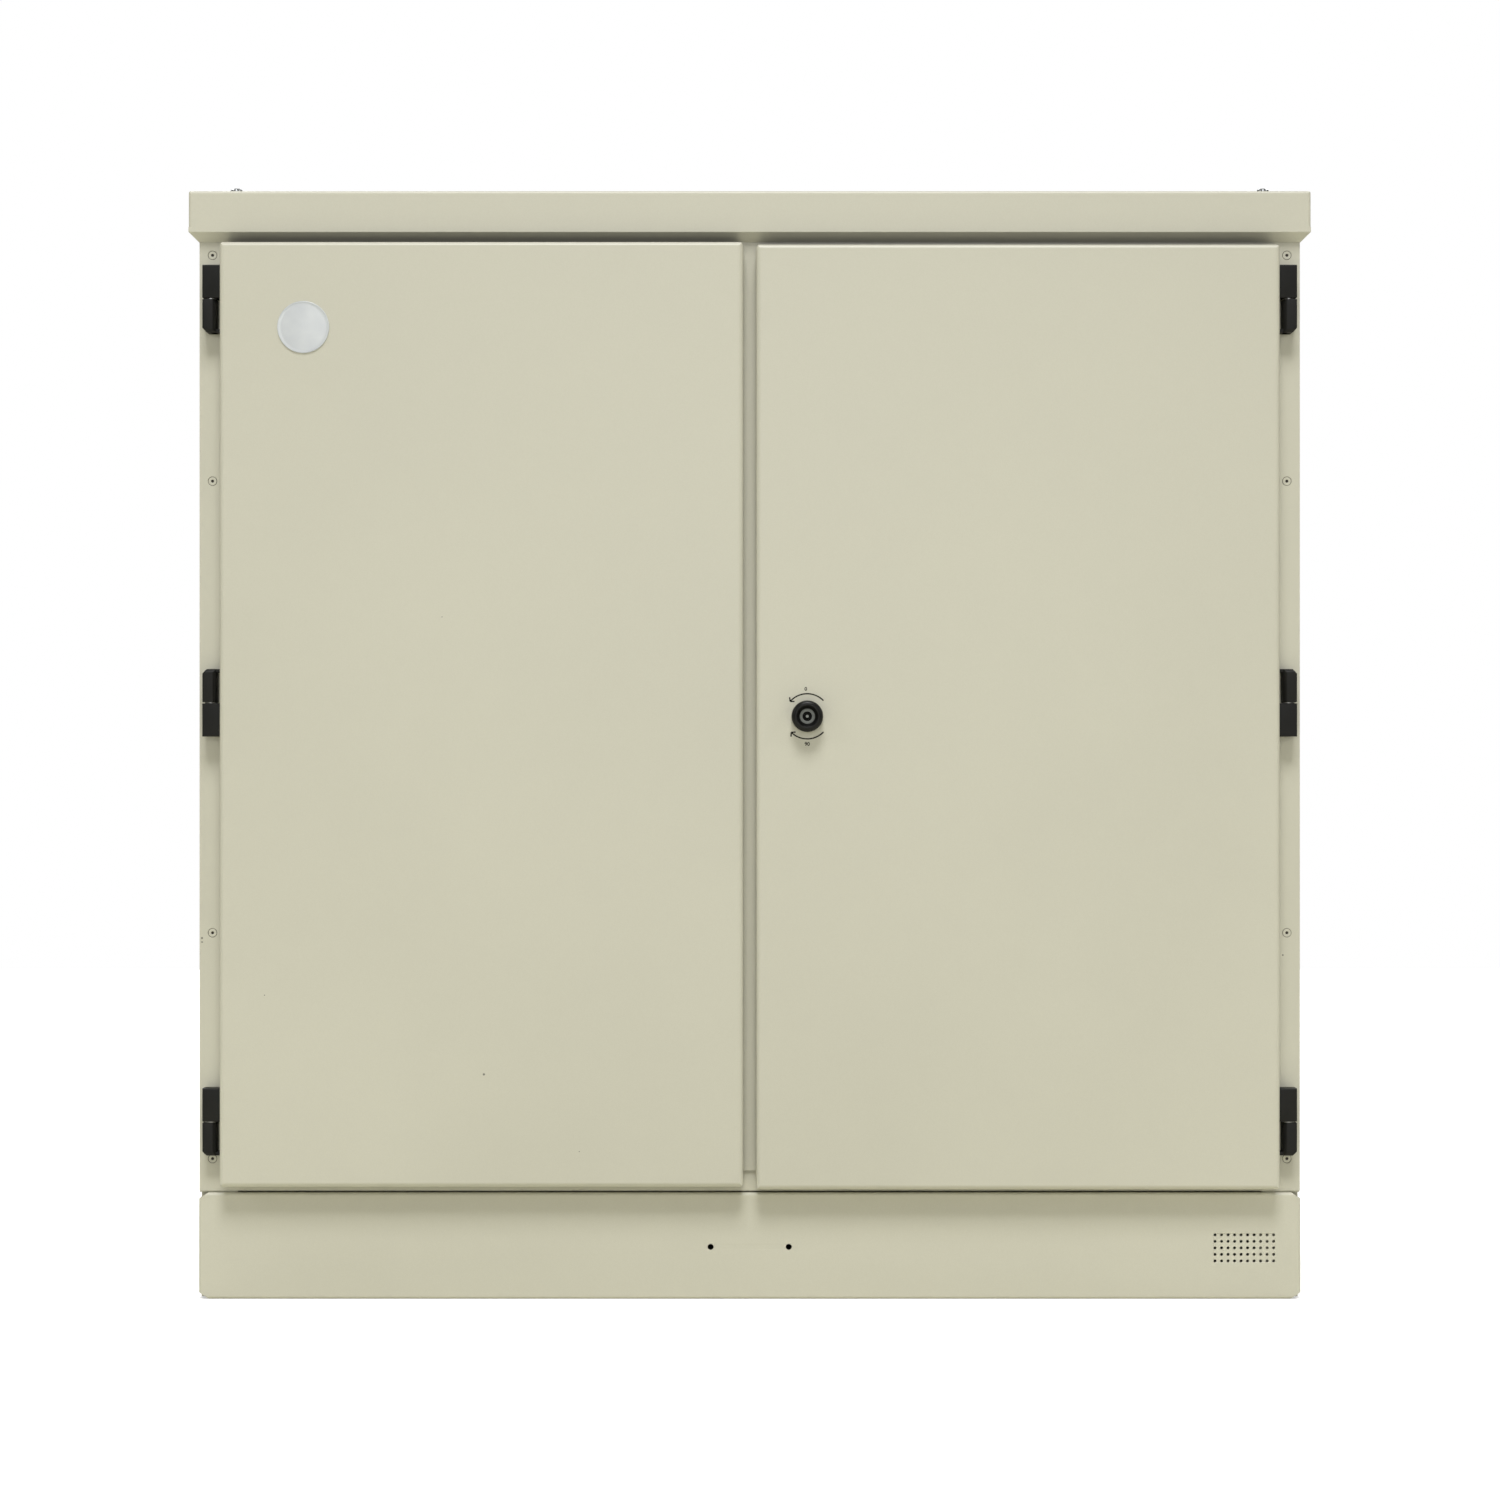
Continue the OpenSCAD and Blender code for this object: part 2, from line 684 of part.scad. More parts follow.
// Bolts that hold the roof, each with a washer, a spacer under the roof and a nut inside.
module roof_bolts() {
    color(zinc) for (x = roof_stud_xs, y = roof_stud_ys) translate([x, y, 0]) {
        translate([0, 0, top_z - sheet - 6]) cylinder(r = roof_stud_r, h = roof_z - top_z + sheet + 6 + 1);
        translate([0, 0, top_z]) cylinder(r = 11, h = roof_air_gap);
        translate([0, 0, roof_z]) cylinder(r = 11, h = roof_washer_t);
        translate([0, 0, roof_z + roof_washer_t]) cylinder(r = roof_head_r, h = roof_head_h - 1);
        translate([0, 0, roof_z + roof_washer_t + roof_head_h - 1])
            cylinder(r1 = roof_head_r, r2 = roof_head_r - 1, h = 1);
        translate([0, 0, top_z - sheet - 5]) cylinder(r = 10, h = 5, $fn = 6);
    }
}

// ---------------------------------------------------------------- fittings inside

rail_xs = [-rail_outer_x, -rail_inner_x, rail_inner_x, rail_outer_x];
rail_bolt_off = mount_rail_w / 2 + rail_flange / 2;
rail_bolt_zs = [mount_rail_z0 + rail_bolt_inset, mount_rail_z0 + mount_rail_h - rail_bolt_inset];

// An upright hat-section rail on the back wall, with a line of fixing holes in its face.
module mounting_rail(x) {
    z1 = mount_rail_z0 + mount_rail_h;
    hw = mount_rail_w / 2;
    y1 = back_y - sheet;
    t = mount_rail_t;
    color(galvanised) difference() {
        union() {
            block([x - hw, rail_face_y, mount_rail_z0], [x + hw, y1, z1]);
            block([x - hw - rail_flange, y1 - t, mount_rail_z0], [x + hw + rail_flange, y1, z1]);
        }
        block([x - hw + t, rail_face_y + t, mount_rail_z0 - 1], [x + hw - t, y1 + 1, z1 + 1]);
        for (i = [0:rail_hole_count - 1])
            y_rod(mount_hole_r, x, rail_hole_z0 + i * rail_hole_pitch,
                  rail_face_y - 1, rail_face_y + t + 1);
        y_rod(rail_bolt_r + hole_clearance, x, clamp_bar_z + clamp_bar_h / 2,
              rail_face_y - 1, rail_face_y + t + 1);
        for (z = rail_bolt_zs, d = [-1, 1])
            y_rod(rail_bolt_r + hole_clearance, x + d * rail_bolt_off, z, y1 - t - 1, y1 + 1);
    }
}

// Bolts through the back wall that hold the rails, with nuts inside, and one for each foot of the bar.
module rail_bolts() {
    y1 = back_y - sheet - mount_rail_t;
    foot_y = rail_face_y - clamp_foot_t;
    across = 10;
    color(zinc) for (x = rail_xs) {
        for (z = rail_bolt_zs, d = [-1, 1]) {
            y_rod(rail_bolt_r, x + d * rail_bolt_off, z, y1 - 7, back_y + eps);
            y_hex(across, x + d * rail_bolt_off, z, y1 - 5, y1);
            y_rod(6.5, x + d * rail_bolt_off, z, back_y, back_y + 2.4);
        }
        y_hex(across, x, clamp_bar_z + clamp_bar_h / 2, foot_y - 4, foot_y);
        y_rod(rail_bolt_r, x, clamp_bar_z + clamp_bar_h / 2, foot_y - eps, rail_face_y + 12);
    }
}

clamp_bar_t = 4;
clamp_hole_pitch = 50;
clamp_stand_off = 40;
clamp_bar_half = body_w / 2 - sheet - 60;
clamp_hole_count = 2 * floor((clamp_bar_half - 20) / clamp_hole_pitch) + 1;
clamp_bar_y = rail_face_y - clamp_stand_off;

// A bar across the bottom for tying down cables, on feet that sit on the mounting rails.
module cable_clamp_bar() {
    z1 = clamp_bar_z + clamp_bar_h;
    foot = 15;
    t = clamp_foot_t;
    color(galvanised) difference() {
        union() {
            block([-clamp_bar_half, clamp_bar_y - clamp_bar_t, clamp_bar_z],
                  [clamp_bar_half, clamp_bar_y, z1]);
            for (x = rail_xs) {
                block([x - foot, clamp_bar_y - eps, clamp_bar_z], [x - foot + t, rail_face_y, z1]);
                block([x + foot - t, clamp_bar_y - eps, clamp_bar_z], [x + foot, rail_face_y, z1]);
                block([x - foot, rail_face_y - t, clamp_bar_z], [x + foot, rail_face_y, z1]);
            }
        }
        for (i = [0:clamp_hole_count - 1])
            y_rod(mount_hole_r, (i - (clamp_hole_count - 1) / 2) * clamp_hole_pitch,
                  clamp_bar_z + clamp_bar_h / 2, clamp_bar_y - clamp_bar_t - 1, clamp_bar_y + 1);
        for (x = rail_xs)
            y_rod(rail_bolt_r + hole_clearance, x, clamp_bar_z + clamp_bar_h / 2,
                  rail_face_y - t - 1, rail_face_y + 1);
    }
}

earth_bar_l = 2 * rail_inner_x + 52;
earth_hole_count = 5;
earth_hole_pitch = 25;
earth_bar_z = clamp_bar_z + clamp_bar_h + 71;
earth_bar_h = 20;
earth_bar_t = 5;
earth_stand_off = 20;

// A brass earth bar on two posts that stand on the inner rails.
module earth_bar() {
    y0 = rail_face_y - earth_stand_off;
    y1 = y0 - earth_bar_t;
    mid = earth_bar_z + earth_bar_h / 2;
    color(brass) difference() {
        union() {
            block([-earth_bar_l / 2, y1, earth_bar_z], [earth_bar_l / 2, y0, earth_bar_z + earth_bar_h]);
            for (x = [-rail_inner_x, rail_inner_x]) {
                y_rod(6, x, mid, y0 - eps, rail_face_y);
                y_hex(10, x, mid, y1 - 4, y1 + eps);
            }
        }
        for (i = [0:earth_hole_count - 1])
            y_rod(2.5, (i - (earth_hole_count - 1) / 2) * earth_hole_pitch, mid, y1 - 1, y0 + 1);
    }
}

// ---------------------------------------------------------------- hinges

// The hinges' joints lie at hinge_z. The middle hinge is turned over, so the doors can't be lifted off.
function turned_over(k) = k == 1;
knuckle_mid = (knuckle_gap + knuckle_h) / 2;
function frame_knuckle_z(k) = hinge_z[k] + (turned_over(k) ? 1 : -1) * knuckle_mid;
function door_knuckle_z(k) = hinge_z[k] + (turned_over(k) ? -1 : 1) * knuckle_mid;
function frame_screw_of_knuckle_z(k, d) = frame_knuckle_z(k) + d * hinge_screw_pitch / 2;
function door_screw_of_knuckle_z(k, d) = door_knuckle_z(k) + d * hinge_screw_pitch / 2;

// Places a knuckle drawn with its joint face at z = 0 and its body above, on the axis.
module at_hinge(s, k, above) {
    flip = above ? 0 : 1;
    translate([s * hinge_x, hinge_y, hinge_z[k] + (above ? 1 : -1) * knuckle_gap / 2])
        mirror([s > 0 ? 0 : 1, 0, 0]) mirror([0, 0, flip]) children();
}

// Cuts a 45 degree bevel off the far end of a knuckle on its front and outer side.
module end_bevel(front, side, b) {
    translate([0, -front, knuckle_h - b]) rotate([45, 0, 0]) translate([-30, -20, 0]) cube([60, 20, 20]);
    translate([side, 0, knuckle_h - b]) rotate([0, -45, 0]) translate([0, -30, 0]) cube([20, 60, 20]);
}

module frame_knuckle(s, k) {
    r = frame_knuckle_r;
    color(black) difference() {
        at_hinge(s, k, turned_over(k)) difference() {
            union() {
                cylinder(r = r, h = knuckle_h);
                translate([-r, 0, 0]) cube([2 * r, frame_y - hinge_y, knuckle_h]);
            }
            end_bevel(r, r, knuckle_bevel);
            // Seat of the pin
            translate([0, 0, -1]) cylinder(r = pin_r, h = pin_depth + 1);
        }
        for (d = [-1, 1])
            y_rod(hinge_screw_r, s * hinge_x, frame_screw_of_knuckle_z(k, d),
                  frame_y - hinge_screw_depth, frame_y + 1);
    }
}

module door_knuckle(s, k) {
    w = hinge_x - door_edge_x;
    t = door_knuckle_half_t;
    color(black) difference() {
        at_hinge(s, k, !turned_over(k)) difference() {
            union() {
                cylinder(r = door_knuckle_r, h = knuckle_h);
                translate([-w, -t + 1, 0]) cube([w, 2 * t - 2, knuckle_h]);
            }
            end_bevel(t, door_knuckle_r, 1.5);
            translate([0, 0, -1]) cylinder(r = pin_r + pin_clearance, h = pin_depth + 1.5);
        }
        for (d = [-1, 1])
            translate([s * (door_edge_x - 1), door_screw_y, door_screw_of_knuckle_z(k, d)])
                rotate([0, s * 90, 0]) cylinder(r = hinge_screw_r, h = 1 + door_screw_depth);
    }
}

door_screw_y = hinge_y - 1;
door_screw_depth = 5;

// Pins with a collar that the door's weight turns on.
module hinge_pins() {
    color(steel) for (s = [LEFT, RIGHT], k = [0:2]) {
        flip = turned_over(k) ? 1 : 0;
        translate([s * hinge_x, hinge_y, hinge_z[k]]) mirror([0, 0, flip]) {
            translate([0, 0, -knuckle_gap / 2 - pin_depth])
                cylinder(r = pin_r, h = 2 * pin_depth + knuckle_gap);
            translate([0, 0, -knuckle_gap / 2]) cylinder(r = 6.2, h = collar_t);
        }
    }
}

module frame_hinge_screws() {
    y1 = frame_y + 2 * sheet;
    color(zinc) for (s = [LEFT, RIGHT], k = [0:2], d = [-1, 1]) {
        z = frame_screw_of_knuckle_z(k, d);
        y_rod(hinge_screw_r, s * hinge_x, z, frame_y - hinge_screw_depth + screw_end_gap, y1 + eps);
        y_hex(hinge_screw_across, s * hinge_x, z, y1, y1 + hinge_screw_head_h);
    }
}

module door_hinge_screws(s) {
    head_x = door_sheet + hinge_screw_head_h;
    color(zinc) for (k = [0:2], d = [-1, 1])
        translate([s * (door_edge_x - head_x), door_screw_y, door_screw_of_knuckle_z(k, d)])
            rotate([0, s * 90, 0]) {
                cylinder(r = hinge_screw_r, h = head_x + door_screw_depth - screw_end_gap);
                cylinder(r = hinge_screw_across / sqrt(3), h = hinge_screw_head_h, $fn = 6);
            }
}

// ---------------------------------------------------------------- doors

function door_drop(s) = s > 0 ? right_door_drop : 0;
function door_x0(s) = s > 0 ? door_split / 2 : -door_split / 2 - door_w;

// A folded tray with a narrow return round its back edge.
module door_tray(s) {
    t = door_sheet;
    z0 = door_z - door_drop(s);
    translate([door_x0(s), door_front_y, z0]) difference() {
        soft_block(door_w, door_t, door_h, door_r);
        translate([t, t, t]) soft_block(door_w - 2 * t, door_t - 2 * t, door_h - 2 * t, door_r - t);
        block([door_return_w, door_t / 2, door_return_w],
              [door_w - door_return_w, door_t + 1, door_h - door_return_w]);
    }
}

module left_door() {
    color(coat) {
        difference() {
            door_tray(LEFT);
            door_screw_holes(LEFT);
        }
        stay_bracket(LEFT);
    }
}

module right_door() {
    color(coat) {
        difference() {
            door_tray(RIGHT);
            door_screw_holes(RIGHT);
            y_rod(lock_body_r + hole_clearance, lock_x, lock_z, door_front_y - 1, door_inner_y + 1);
        }
        stay_bracket(RIGHT);
    }
}

module door_screw_holes(s) {
    for (k = [0:2], d = [-1, 1])
        translate([s * (door_edge_x - door_sheet - 1), door_screw_y, door_screw_of_knuckle_z(k, d)])
            rotate([0, s * 90, 0]) cylinder(r = hinge_screw_r + hole_clearance, h = door_sheet + 2);
}

// The middle of the seal lies on the frame's lip on three sides and on the centre post's lip on the fourth.
module door_seal(s) {
    x_out = opening_half_w + sheet / 2;
    x_in = centre_post_w / 2 - sheet / 2;
    z_lo = opening_bottom_z - sheet / 2;
    z_hi = opening_top_z + sheet / 2;
    h = seal_w / 2;
    color(foam) mirror([s > 0 ? 0 : 1, 0, 0]) difference() {
        block([x_in - h, door_inner_y, z_lo - h], [x_out + h, door_inner_y + seal_t, z_hi + h]);
        block([x_in + h, door_inner_y - 1, z_lo + h], [x_out - h, door_inner_y + seal_t + 1, z_hi - h]);
    }
}

stiffener_w = 30;
stiffener_d = 13;

// An upright hat section bonded to the inside of the door.
module door_stiffener(s) {
    x = s * (door_split / 2 + door_w / 2);
    z0 = opening_bottom_z + seal_w;
    z1 = opening_top_z - seal_w;
    t = door_sheet;
    y0 = door_inner_y;
    color(coat) difference() {
        union() {
            block([x - stiffener_w / 2, y0, z0], [x + stiffener_w / 2, y0 + stiffener_d, z1]);
            block([x - stiffener_w / 2 - 14, y0, z0], [x + stiffener_w / 2 + 14, y0 + t, z1]);
        }
        block([x - stiffener_w / 2 + t, y0 - 1, z0 - 1],
              [x + stiffener_w / 2 - t, y0 + stiffener_d - t, z1 + 1]);
    }
}

badge_r = 25.8;
badge_x = -door_edge_x + 83.5;
badge_drop = 85;

badge_t = 1.5;
badge_bevel = 0.7;

// A plain round disc stuck on the left door.
module badge_disc() {
    color("#e4e9ec") translate([badge_x, door_front_y, door_z + door_h - badge_drop]) rotate([90, 0, 0]) {
        cylinder(r = badge_r, h = badge_t - badge_bevel);
        translate([0, 0, badge_t - badge_bevel])
            cylinder(r1 = badge_r, r2 = badge_r - 3 * badge_bevel, h = badge_bevel);
    }
}

// ---------------------------------------------------------------- lock

lock_face_y = door_front_y - bezel_h + 8;
lock_body_y1 = frame_y - 2;
bezel_bore_r = 9.6;

// The black bezel: a thick ring with rounded edges, open in the middle.
module lock_bezel() {
    r = 4;
    color(black) translate([lock_x, door_front_y, lock_z]) rotate([90, 0, 0]) difference() {
        union() {
            cylinder(r = bezel_r, h = bezel_h - r);
            translate([0, 0, bezel_h - r]) rotate_extrude() translate([bezel_r - r, 0]) circle(r);
            cylinder(r = bezel_r - r, h = bezel_h);
        }
        translate([0, 0, -1]) cylinder(r = lock_body_r + hole_clearance, h = 9);
        translate([0, 0, -1]) cylinder(r = bezel_bore_r, h = bezel_h + 2);
        translate([0, 0, bezel_h - 3]) cylinder(r1 = bezel_bore_r, r2 = bezel_bore_r + 2, h = 3 + eps);
    }
}

// The lock's barrel, with a flange seated in the bezel.
module lock_body() {
    color(zinc) difference() {
        union() {
            y_rod(lock_body_r, lock_x, lock_z, lock_face_y, lock_body_y1);
            y_rod(bezel_bore_r, lock_x, lock_z, lock_face_y - 2, lock_face_y + 1);
        }
        y_rod(rotor_r + rotor_clearance, lock_x, lock_z, lock_face_y - 3, lock_body_y1 + 1);
    }
}

module lock_nut() {
    color(zinc) difference() {
        y_hex(30, lock_x, lock_z, door_inner_y, door_inner_y + 6);
        y_rod(lock_body_r, lock_x, lock_z, door_inner_y - 1, door_inner_y + 7);
    }
}

// The part that the key turns: a socket with a middle pin in front, a square and a screw behind.
module lock_rotor() {
    y0 = lock_face_y - 1;
    y1 = cam_y + cam_t + cam_clearance;
    q = rotor_square / 2;
    color(steel) difference() {
        union() {
            y_rod(rotor_r, lock_x, lock_z, y0, lock_body_y1 + 0.5);
            block([lock_x - q, lock_body_y1 - 1, lock_z - q], [lock_x + q, y1 + 0.1, lock_z + q]);
            y_rod(5.2, lock_x, lock_z, y1, y1 + 3);
        }
        difference() {
            y_rod(4.8, lock_x, lock_z, y0 - 1, y0 + 9);
            y_rod(1.4, lock_x, lock_z, y0 - 1, y0 + 10);
            // Two wings that the key's bits turn
            for (a = [45, 225])
                translate([lock_x, y0 + 1.5, lock_z]) rotate([0, a, 0]) translate([2.6, 0, -1.3])
                    cube([3, 9, 2.6]);
        }
        y_hex(5, lock_x, lock_z, y1 + 1, y1 + 4);
    }
}

// The crank plate: a disc with two pins that drive the rods, and a tongue that catches the centre post.
module lock_cam() {
    y0 = cam_y + cam_clearance;
    y1 = y0 + cam_t;
    q = rotor_square / 2 + hole_clearance / 2;
    color(steel) difference() {
        union() {
            y_rod(cam_disc_r, lock_x, lock_z, y0, y1);
            block([lock_x - tongue_w / 2, y0, lock_z - tongue_reach], [lock_x + tongue_w / 2, y1, lock_z]);
            for (a = [-1, 1])
                y_rod(crank_pin_r, lock_x + a * crank_r * cos(45), lock_z + a * crank_r * sin(45),
                      y1 - eps, rod_y + rod_t + 1.2);
        }
        block([lock_x - q, y0 - 1, lock_z - q], [lock_x + q, y1 + 1, lock_z + q]);
    }
}

// A locking rod, drawn for the upper one about the lock's axis, with a slotted plate for its crank pin.
module rod_shape(reach) {
    slot_h = crank_pin_r + crank_play;
    rim = 4;
    joggle_top = rod_joggle_z + 14;
    x0 = -rod_plate_x0 - rod_plate_w;
    pin_z = -crank_r * sin(45);
    slot_x0 = -crank_r - crank_pin_r - 0.4;
    slot_x1 = -crank_r * cos(45) + crank_pin_r + 0.4;
    difference() {
        union() {
            translate([x0, pin_z - slot_h - rim]) square([rod_plate_w, joggle_top - pin_z + slot_h + rim]);
            translate([x0, rod_joggle_z]) square([rod_w / 2 - x0, joggle_top - rod_joggle_z]);
            translate([-rod_w / 2, rod_joggle_z]) square([rod_w, reach - rod_joggle_z - rod_w / 2]);
            translate([0, reach - rod_w / 2]) circle(rod_w / 2);
        }
        translate([slot_x0, pin_z - slot_h]) square([slot_x1 - slot_x0, 2 * slot_h]);
    }
}

upper_reach = opening_top_z - rod_end_gap - lock_z;
lower_reach = lock_z - opening_bottom_z - rod_end_gap;

module upper_rod() {
    color(zinc) translate([lock_x, rod_y + rod_t, lock_z]) rotate([90, 0, 0]) linear_extrude(rod_t)
        rod_shape(upper_reach);
}

module lower_rod() {
    color(zinc) translate([lock_x, rod_y + rod_t, lock_z]) rotate([90, 0, 0]) linear_extrude(rod_t)
        rotate(180) rod_shape(lower_reach);
}

rod_guide_zs = [opening_bottom_z + 34, lock_z - 120, lock_z + 120, opening_top_z - 34];
rod_guide_h = 14;

// Brackets on the door that the rods slide through.
module rod_guides() {
    c = guide_clearance;
    w = rod_w / 2 + c;
    t = 2.5;
    foot = 9;
    y1 = rod_y + rod_t + c;
    color(black) for (z = rod_guide_zs) difference() {
        union() {
            block([lock_x - w - t, door_inner_y, z], [lock_x + w + t, y1 + t, z + rod_guide_h]);
            block([lock_x - w - foot, door_inner_y, z],
                  [lock_x + w + foot, door_inner_y + t, z + rod_guide_h]);
        }
        block([lock_x - w, rod_y - c, z - 1], [lock_x + w, y1, z + rod_guide_h + 1]);
        block([lock_x - w, door_inner_y + t, z - 1],
              [lock_x + w, rod_y - c - t, z + rod_guide_h + 1]);
    }
}

// ---------------------------------------------------------------- left door bolts

// A shoot bolt drawn with its tip up at z = 0 and its knob towards the back.
module shoot_bolt() {
    union() {
        translate([0, 0, -bolt_len]) cylinder(r = bolt_r, h = bolt_len - 2);
        translate([0, 0, -2]) cylinder(r1 = bolt_r, r2 = bolt_r - 2, h = 2);
        y_rod(bolt_stem_r, 0, -bolt_len / 2, 0, bolt_r + 12);
        y_rod(6.5, 0, -bolt_len / 2, bolt_r + 10, bolt_r + 18);
    }
}

module top_bolt() {
    color(zinc) translate([bolt_x, bolt_y, opening_top_z - rod_end_gap]) shoot_bolt();
}

module bottom_bolt() {
    color(zinc) translate([bolt_x, bolt_y, opening_bottom_z + rod_end_gap]) mirror([0, 0, 1]) shoot_bolt();
}

// A bracket drawn like the bolt, with an eye below the bolt's stem and one above the stem's travel.
module bolt_guide() {
    z_mid = -bolt_len / 2;
    depth = bolt_y - door_inner_y;
    w = 2 * bolt_r + 8;
    low = z_mid - bolt_stem_r - bolt_eye_gap - bolt_eye_h;
    high = z_mid + bolt_stem_r + bolt_eye_gap + bolt_travel;
    difference() {
        for (z = [low, high]) translate([-w / 2, -depth, z]) cube([w, depth + bolt_r + 3, bolt_eye_h]);
        translate([0, 0, -bolt_len - 5]) cylinder(r = bolt_r + bolt_clearance, h = bolt_len + 20);
    }
    translate([-w / 2, -depth, low]) cube([w, 3, high + bolt_eye_h - low]);
}

module bolt_guides() {
    color(black) {
        translate([bolt_x, bolt_y, opening_top_z - rod_end_gap]) bolt_guide();
        translate([bolt_x, bolt_y, opening_bottom_z + rod_end_gap]) mirror([0, 0, 1]) bolt_guide();
    }
}

// ---------------------------------------------------------------- door stays

// Draws at the hinge axis of side s, with +x towards the middle of the cabinet.
module from_hinge(s) {
    translate([s * hinge_x, hinge_y, 0]) mirror([s > 0 ? 1 : 0, 0, 0]) children();
}

function polar(r, a) = [r * cos(a), r * sin(a)];

// A slotted arm that turns on the door and slides over a fixed pin. Pivot and pin are equally far
// from the hinge axis, so the arm turns exactly half as far as the door.
module stay(s) {
    slot_r = stay_pin_r + stay_play;
    a0 = stay_near - 6;
    a1 = stay_far + 1;
    color(galvanised) from_hinge(s) translate(concat(polar(stay_r, stay_pivot_a), stay_z)) {
        rotate([0, 0, stay_direction]) difference() {
            linear_extrude(stay_t) difference() {
                union() {
                    translate([0, -stay_w / 2]) square([a1 + 5, stay_w]);
                    circle(stay_w / 2);
                    translate([a1 + 5, 0]) circle(stay_w / 2);
                }
                translate([a0, -slot_r]) square([a1 - a0, 2 * slot_r]);
                translate([a0, 0]) circle(slot_r);
                translate([a1, 0]) circle(slot_r);
            }
            translate([0, 0, -1]) cylinder(r = stay_pin_r + stay_clearance, h = stay_t + 2);
        }
    }
}

stay_clearance = 0.06;

// The bracket welded inside a door, with the pin that the stay turns on.
module stay_bracket(s) {
    p = polar(stay_r, stay_pivot_a);
    y0 = door_inner_y - hinge_y;
    w = 20;
    t = 3;
    gap = 0.3;
    from_hinge(s) {
        translate([p[0] - w / 2, y0 - eps, stay_z - gap - t]) cube([w, p[1] - y0 + w / 2, t]);
        translate([p[0] - w / 2, y0 - eps, stay_z - gap - w]) cube([w, t, w]);
        translate([p[0], p[1], stay_z - 2]) cylinder(r = stay_pin_r, h = stay_t + 4);
        translate([p[0], p[1], stay_z + stay_t + gap]) cylinder(r = stay_pin_r + 2.5, h = 2);
    }
}

// Brackets on the side panels, each with the pin that its stay slides over.
module stay_guides() {
    p = polar(stay_r, stay_guide_a);
    x0 = hinge_x - body_w / 2 + sheet;
    z1 = stay_z + stay_t + stay_guide_drop;
    w = 28;
    t = 3;
    color(galvanised) for (s = [LEFT, RIGHT]) from_hinge(s) {
        translate([x0, p[1] - w / 2, z1]) cube([p[0] + 12 - x0, w, t]);
        translate([x0, p[1] - w / 2, z1]) cube([t, w, w]);
        translate([p[0], p[1], stay_z - 4]) cylinder(r = stay_pin_r, h = z1 - stay_z + 5);
        translate([p[0], p[1], stay_z - 4]) cylinder(r = stay_pin_r + 3, h = t);
    }
}

// ---------------------------------------------------------------- nodes

plinth_frame();
plinth_cover();
plinth_bolts();
side_panel(LEFT);  // side_panel_left
side_panel(RIGHT);  // side_panel_right
rear_panel();
top_panel();
front_frame();
frame_screws();
centre_post();
centre_post_screws();
floor_plate(LEFT);  // floor_plate_front
floor_plate(RIGHT);  // floor_plate_rear
cable_slot_seal();
roof_cap();
roof_bolts();
mounting_rail(rail_xs[0]);  // rail_left_outer
mounting_rail(rail_xs[1]);  // rail_left_inner
mounting_rail(rail_xs[2]);  // rail_right_inner
mounting_rail(rail_xs[3]);  // rail_right_outer
rail_bolts();
cable_clamp_bar();
earth_bar();
stay_guides();
frame_knuckle(LEFT, 0);  // frame_knuckle_left_bottom
frame_knuckle(LEFT, 1);  // frame_knuckle_left_middle
frame_knuckle(LEFT, 2);  // frame_knuckle_left_top
frame_knuckle(RIGHT, 0);  // frame_knuckle_right_bottom
frame_knuckle(RIGHT, 1);  // frame_knuckle_right_middle
frame_knuckle(RIGHT, 2);  // frame_knuckle_right_top
hinge_pins();
frame_hinge_screws();
left_door();
door_seal(LEFT);  // left_door_seal
door_stiffener(LEFT);  // left_door_stiffener
door_hinge_screws(LEFT);  // left_door_hinge_screws
door_knuckle(LEFT, 0);  // door_knuckle_left_bottom
door_knuckle(LEFT, 1);  // door_knuckle_left_middle
door_knuckle(LEFT, 2);  // door_knuckle_left_top
badge_disc();
bolt_guides();
top_bolt();
bottom_bolt();
stay(LEFT);  // left_stay
right_door();
door_seal(RIGHT);  // right_door_seal
door_stiffener(RIGHT);  // right_door_stiffener
door_hinge_screws(RIGHT);  // right_door_hinge_screws
door_knuckle(RIGHT, 0);  // door_knuckle_right_bottom
door_knuckle(RIGHT, 1);  // door_knuckle_right_middle
door_knuckle(RIGHT, 2);  // door_knuckle_right_top
lock_bezel();
lock_body();
lock_nut();
rod_guides();
lock_rotor();
lock_cam();
upper_rod();
lower_rod();
stay(RIGHT);  // right_stay
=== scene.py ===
"""Roadside utility cabinet: the finish of every sheet, and the hinges, lock, badge, screws and seals
as they are made, around the construction that the frame brings in. Metres, +Z up, doors facing -Y."""

import json
import math

import bmesh
import bpy
from mathutils import Matrix, Vector

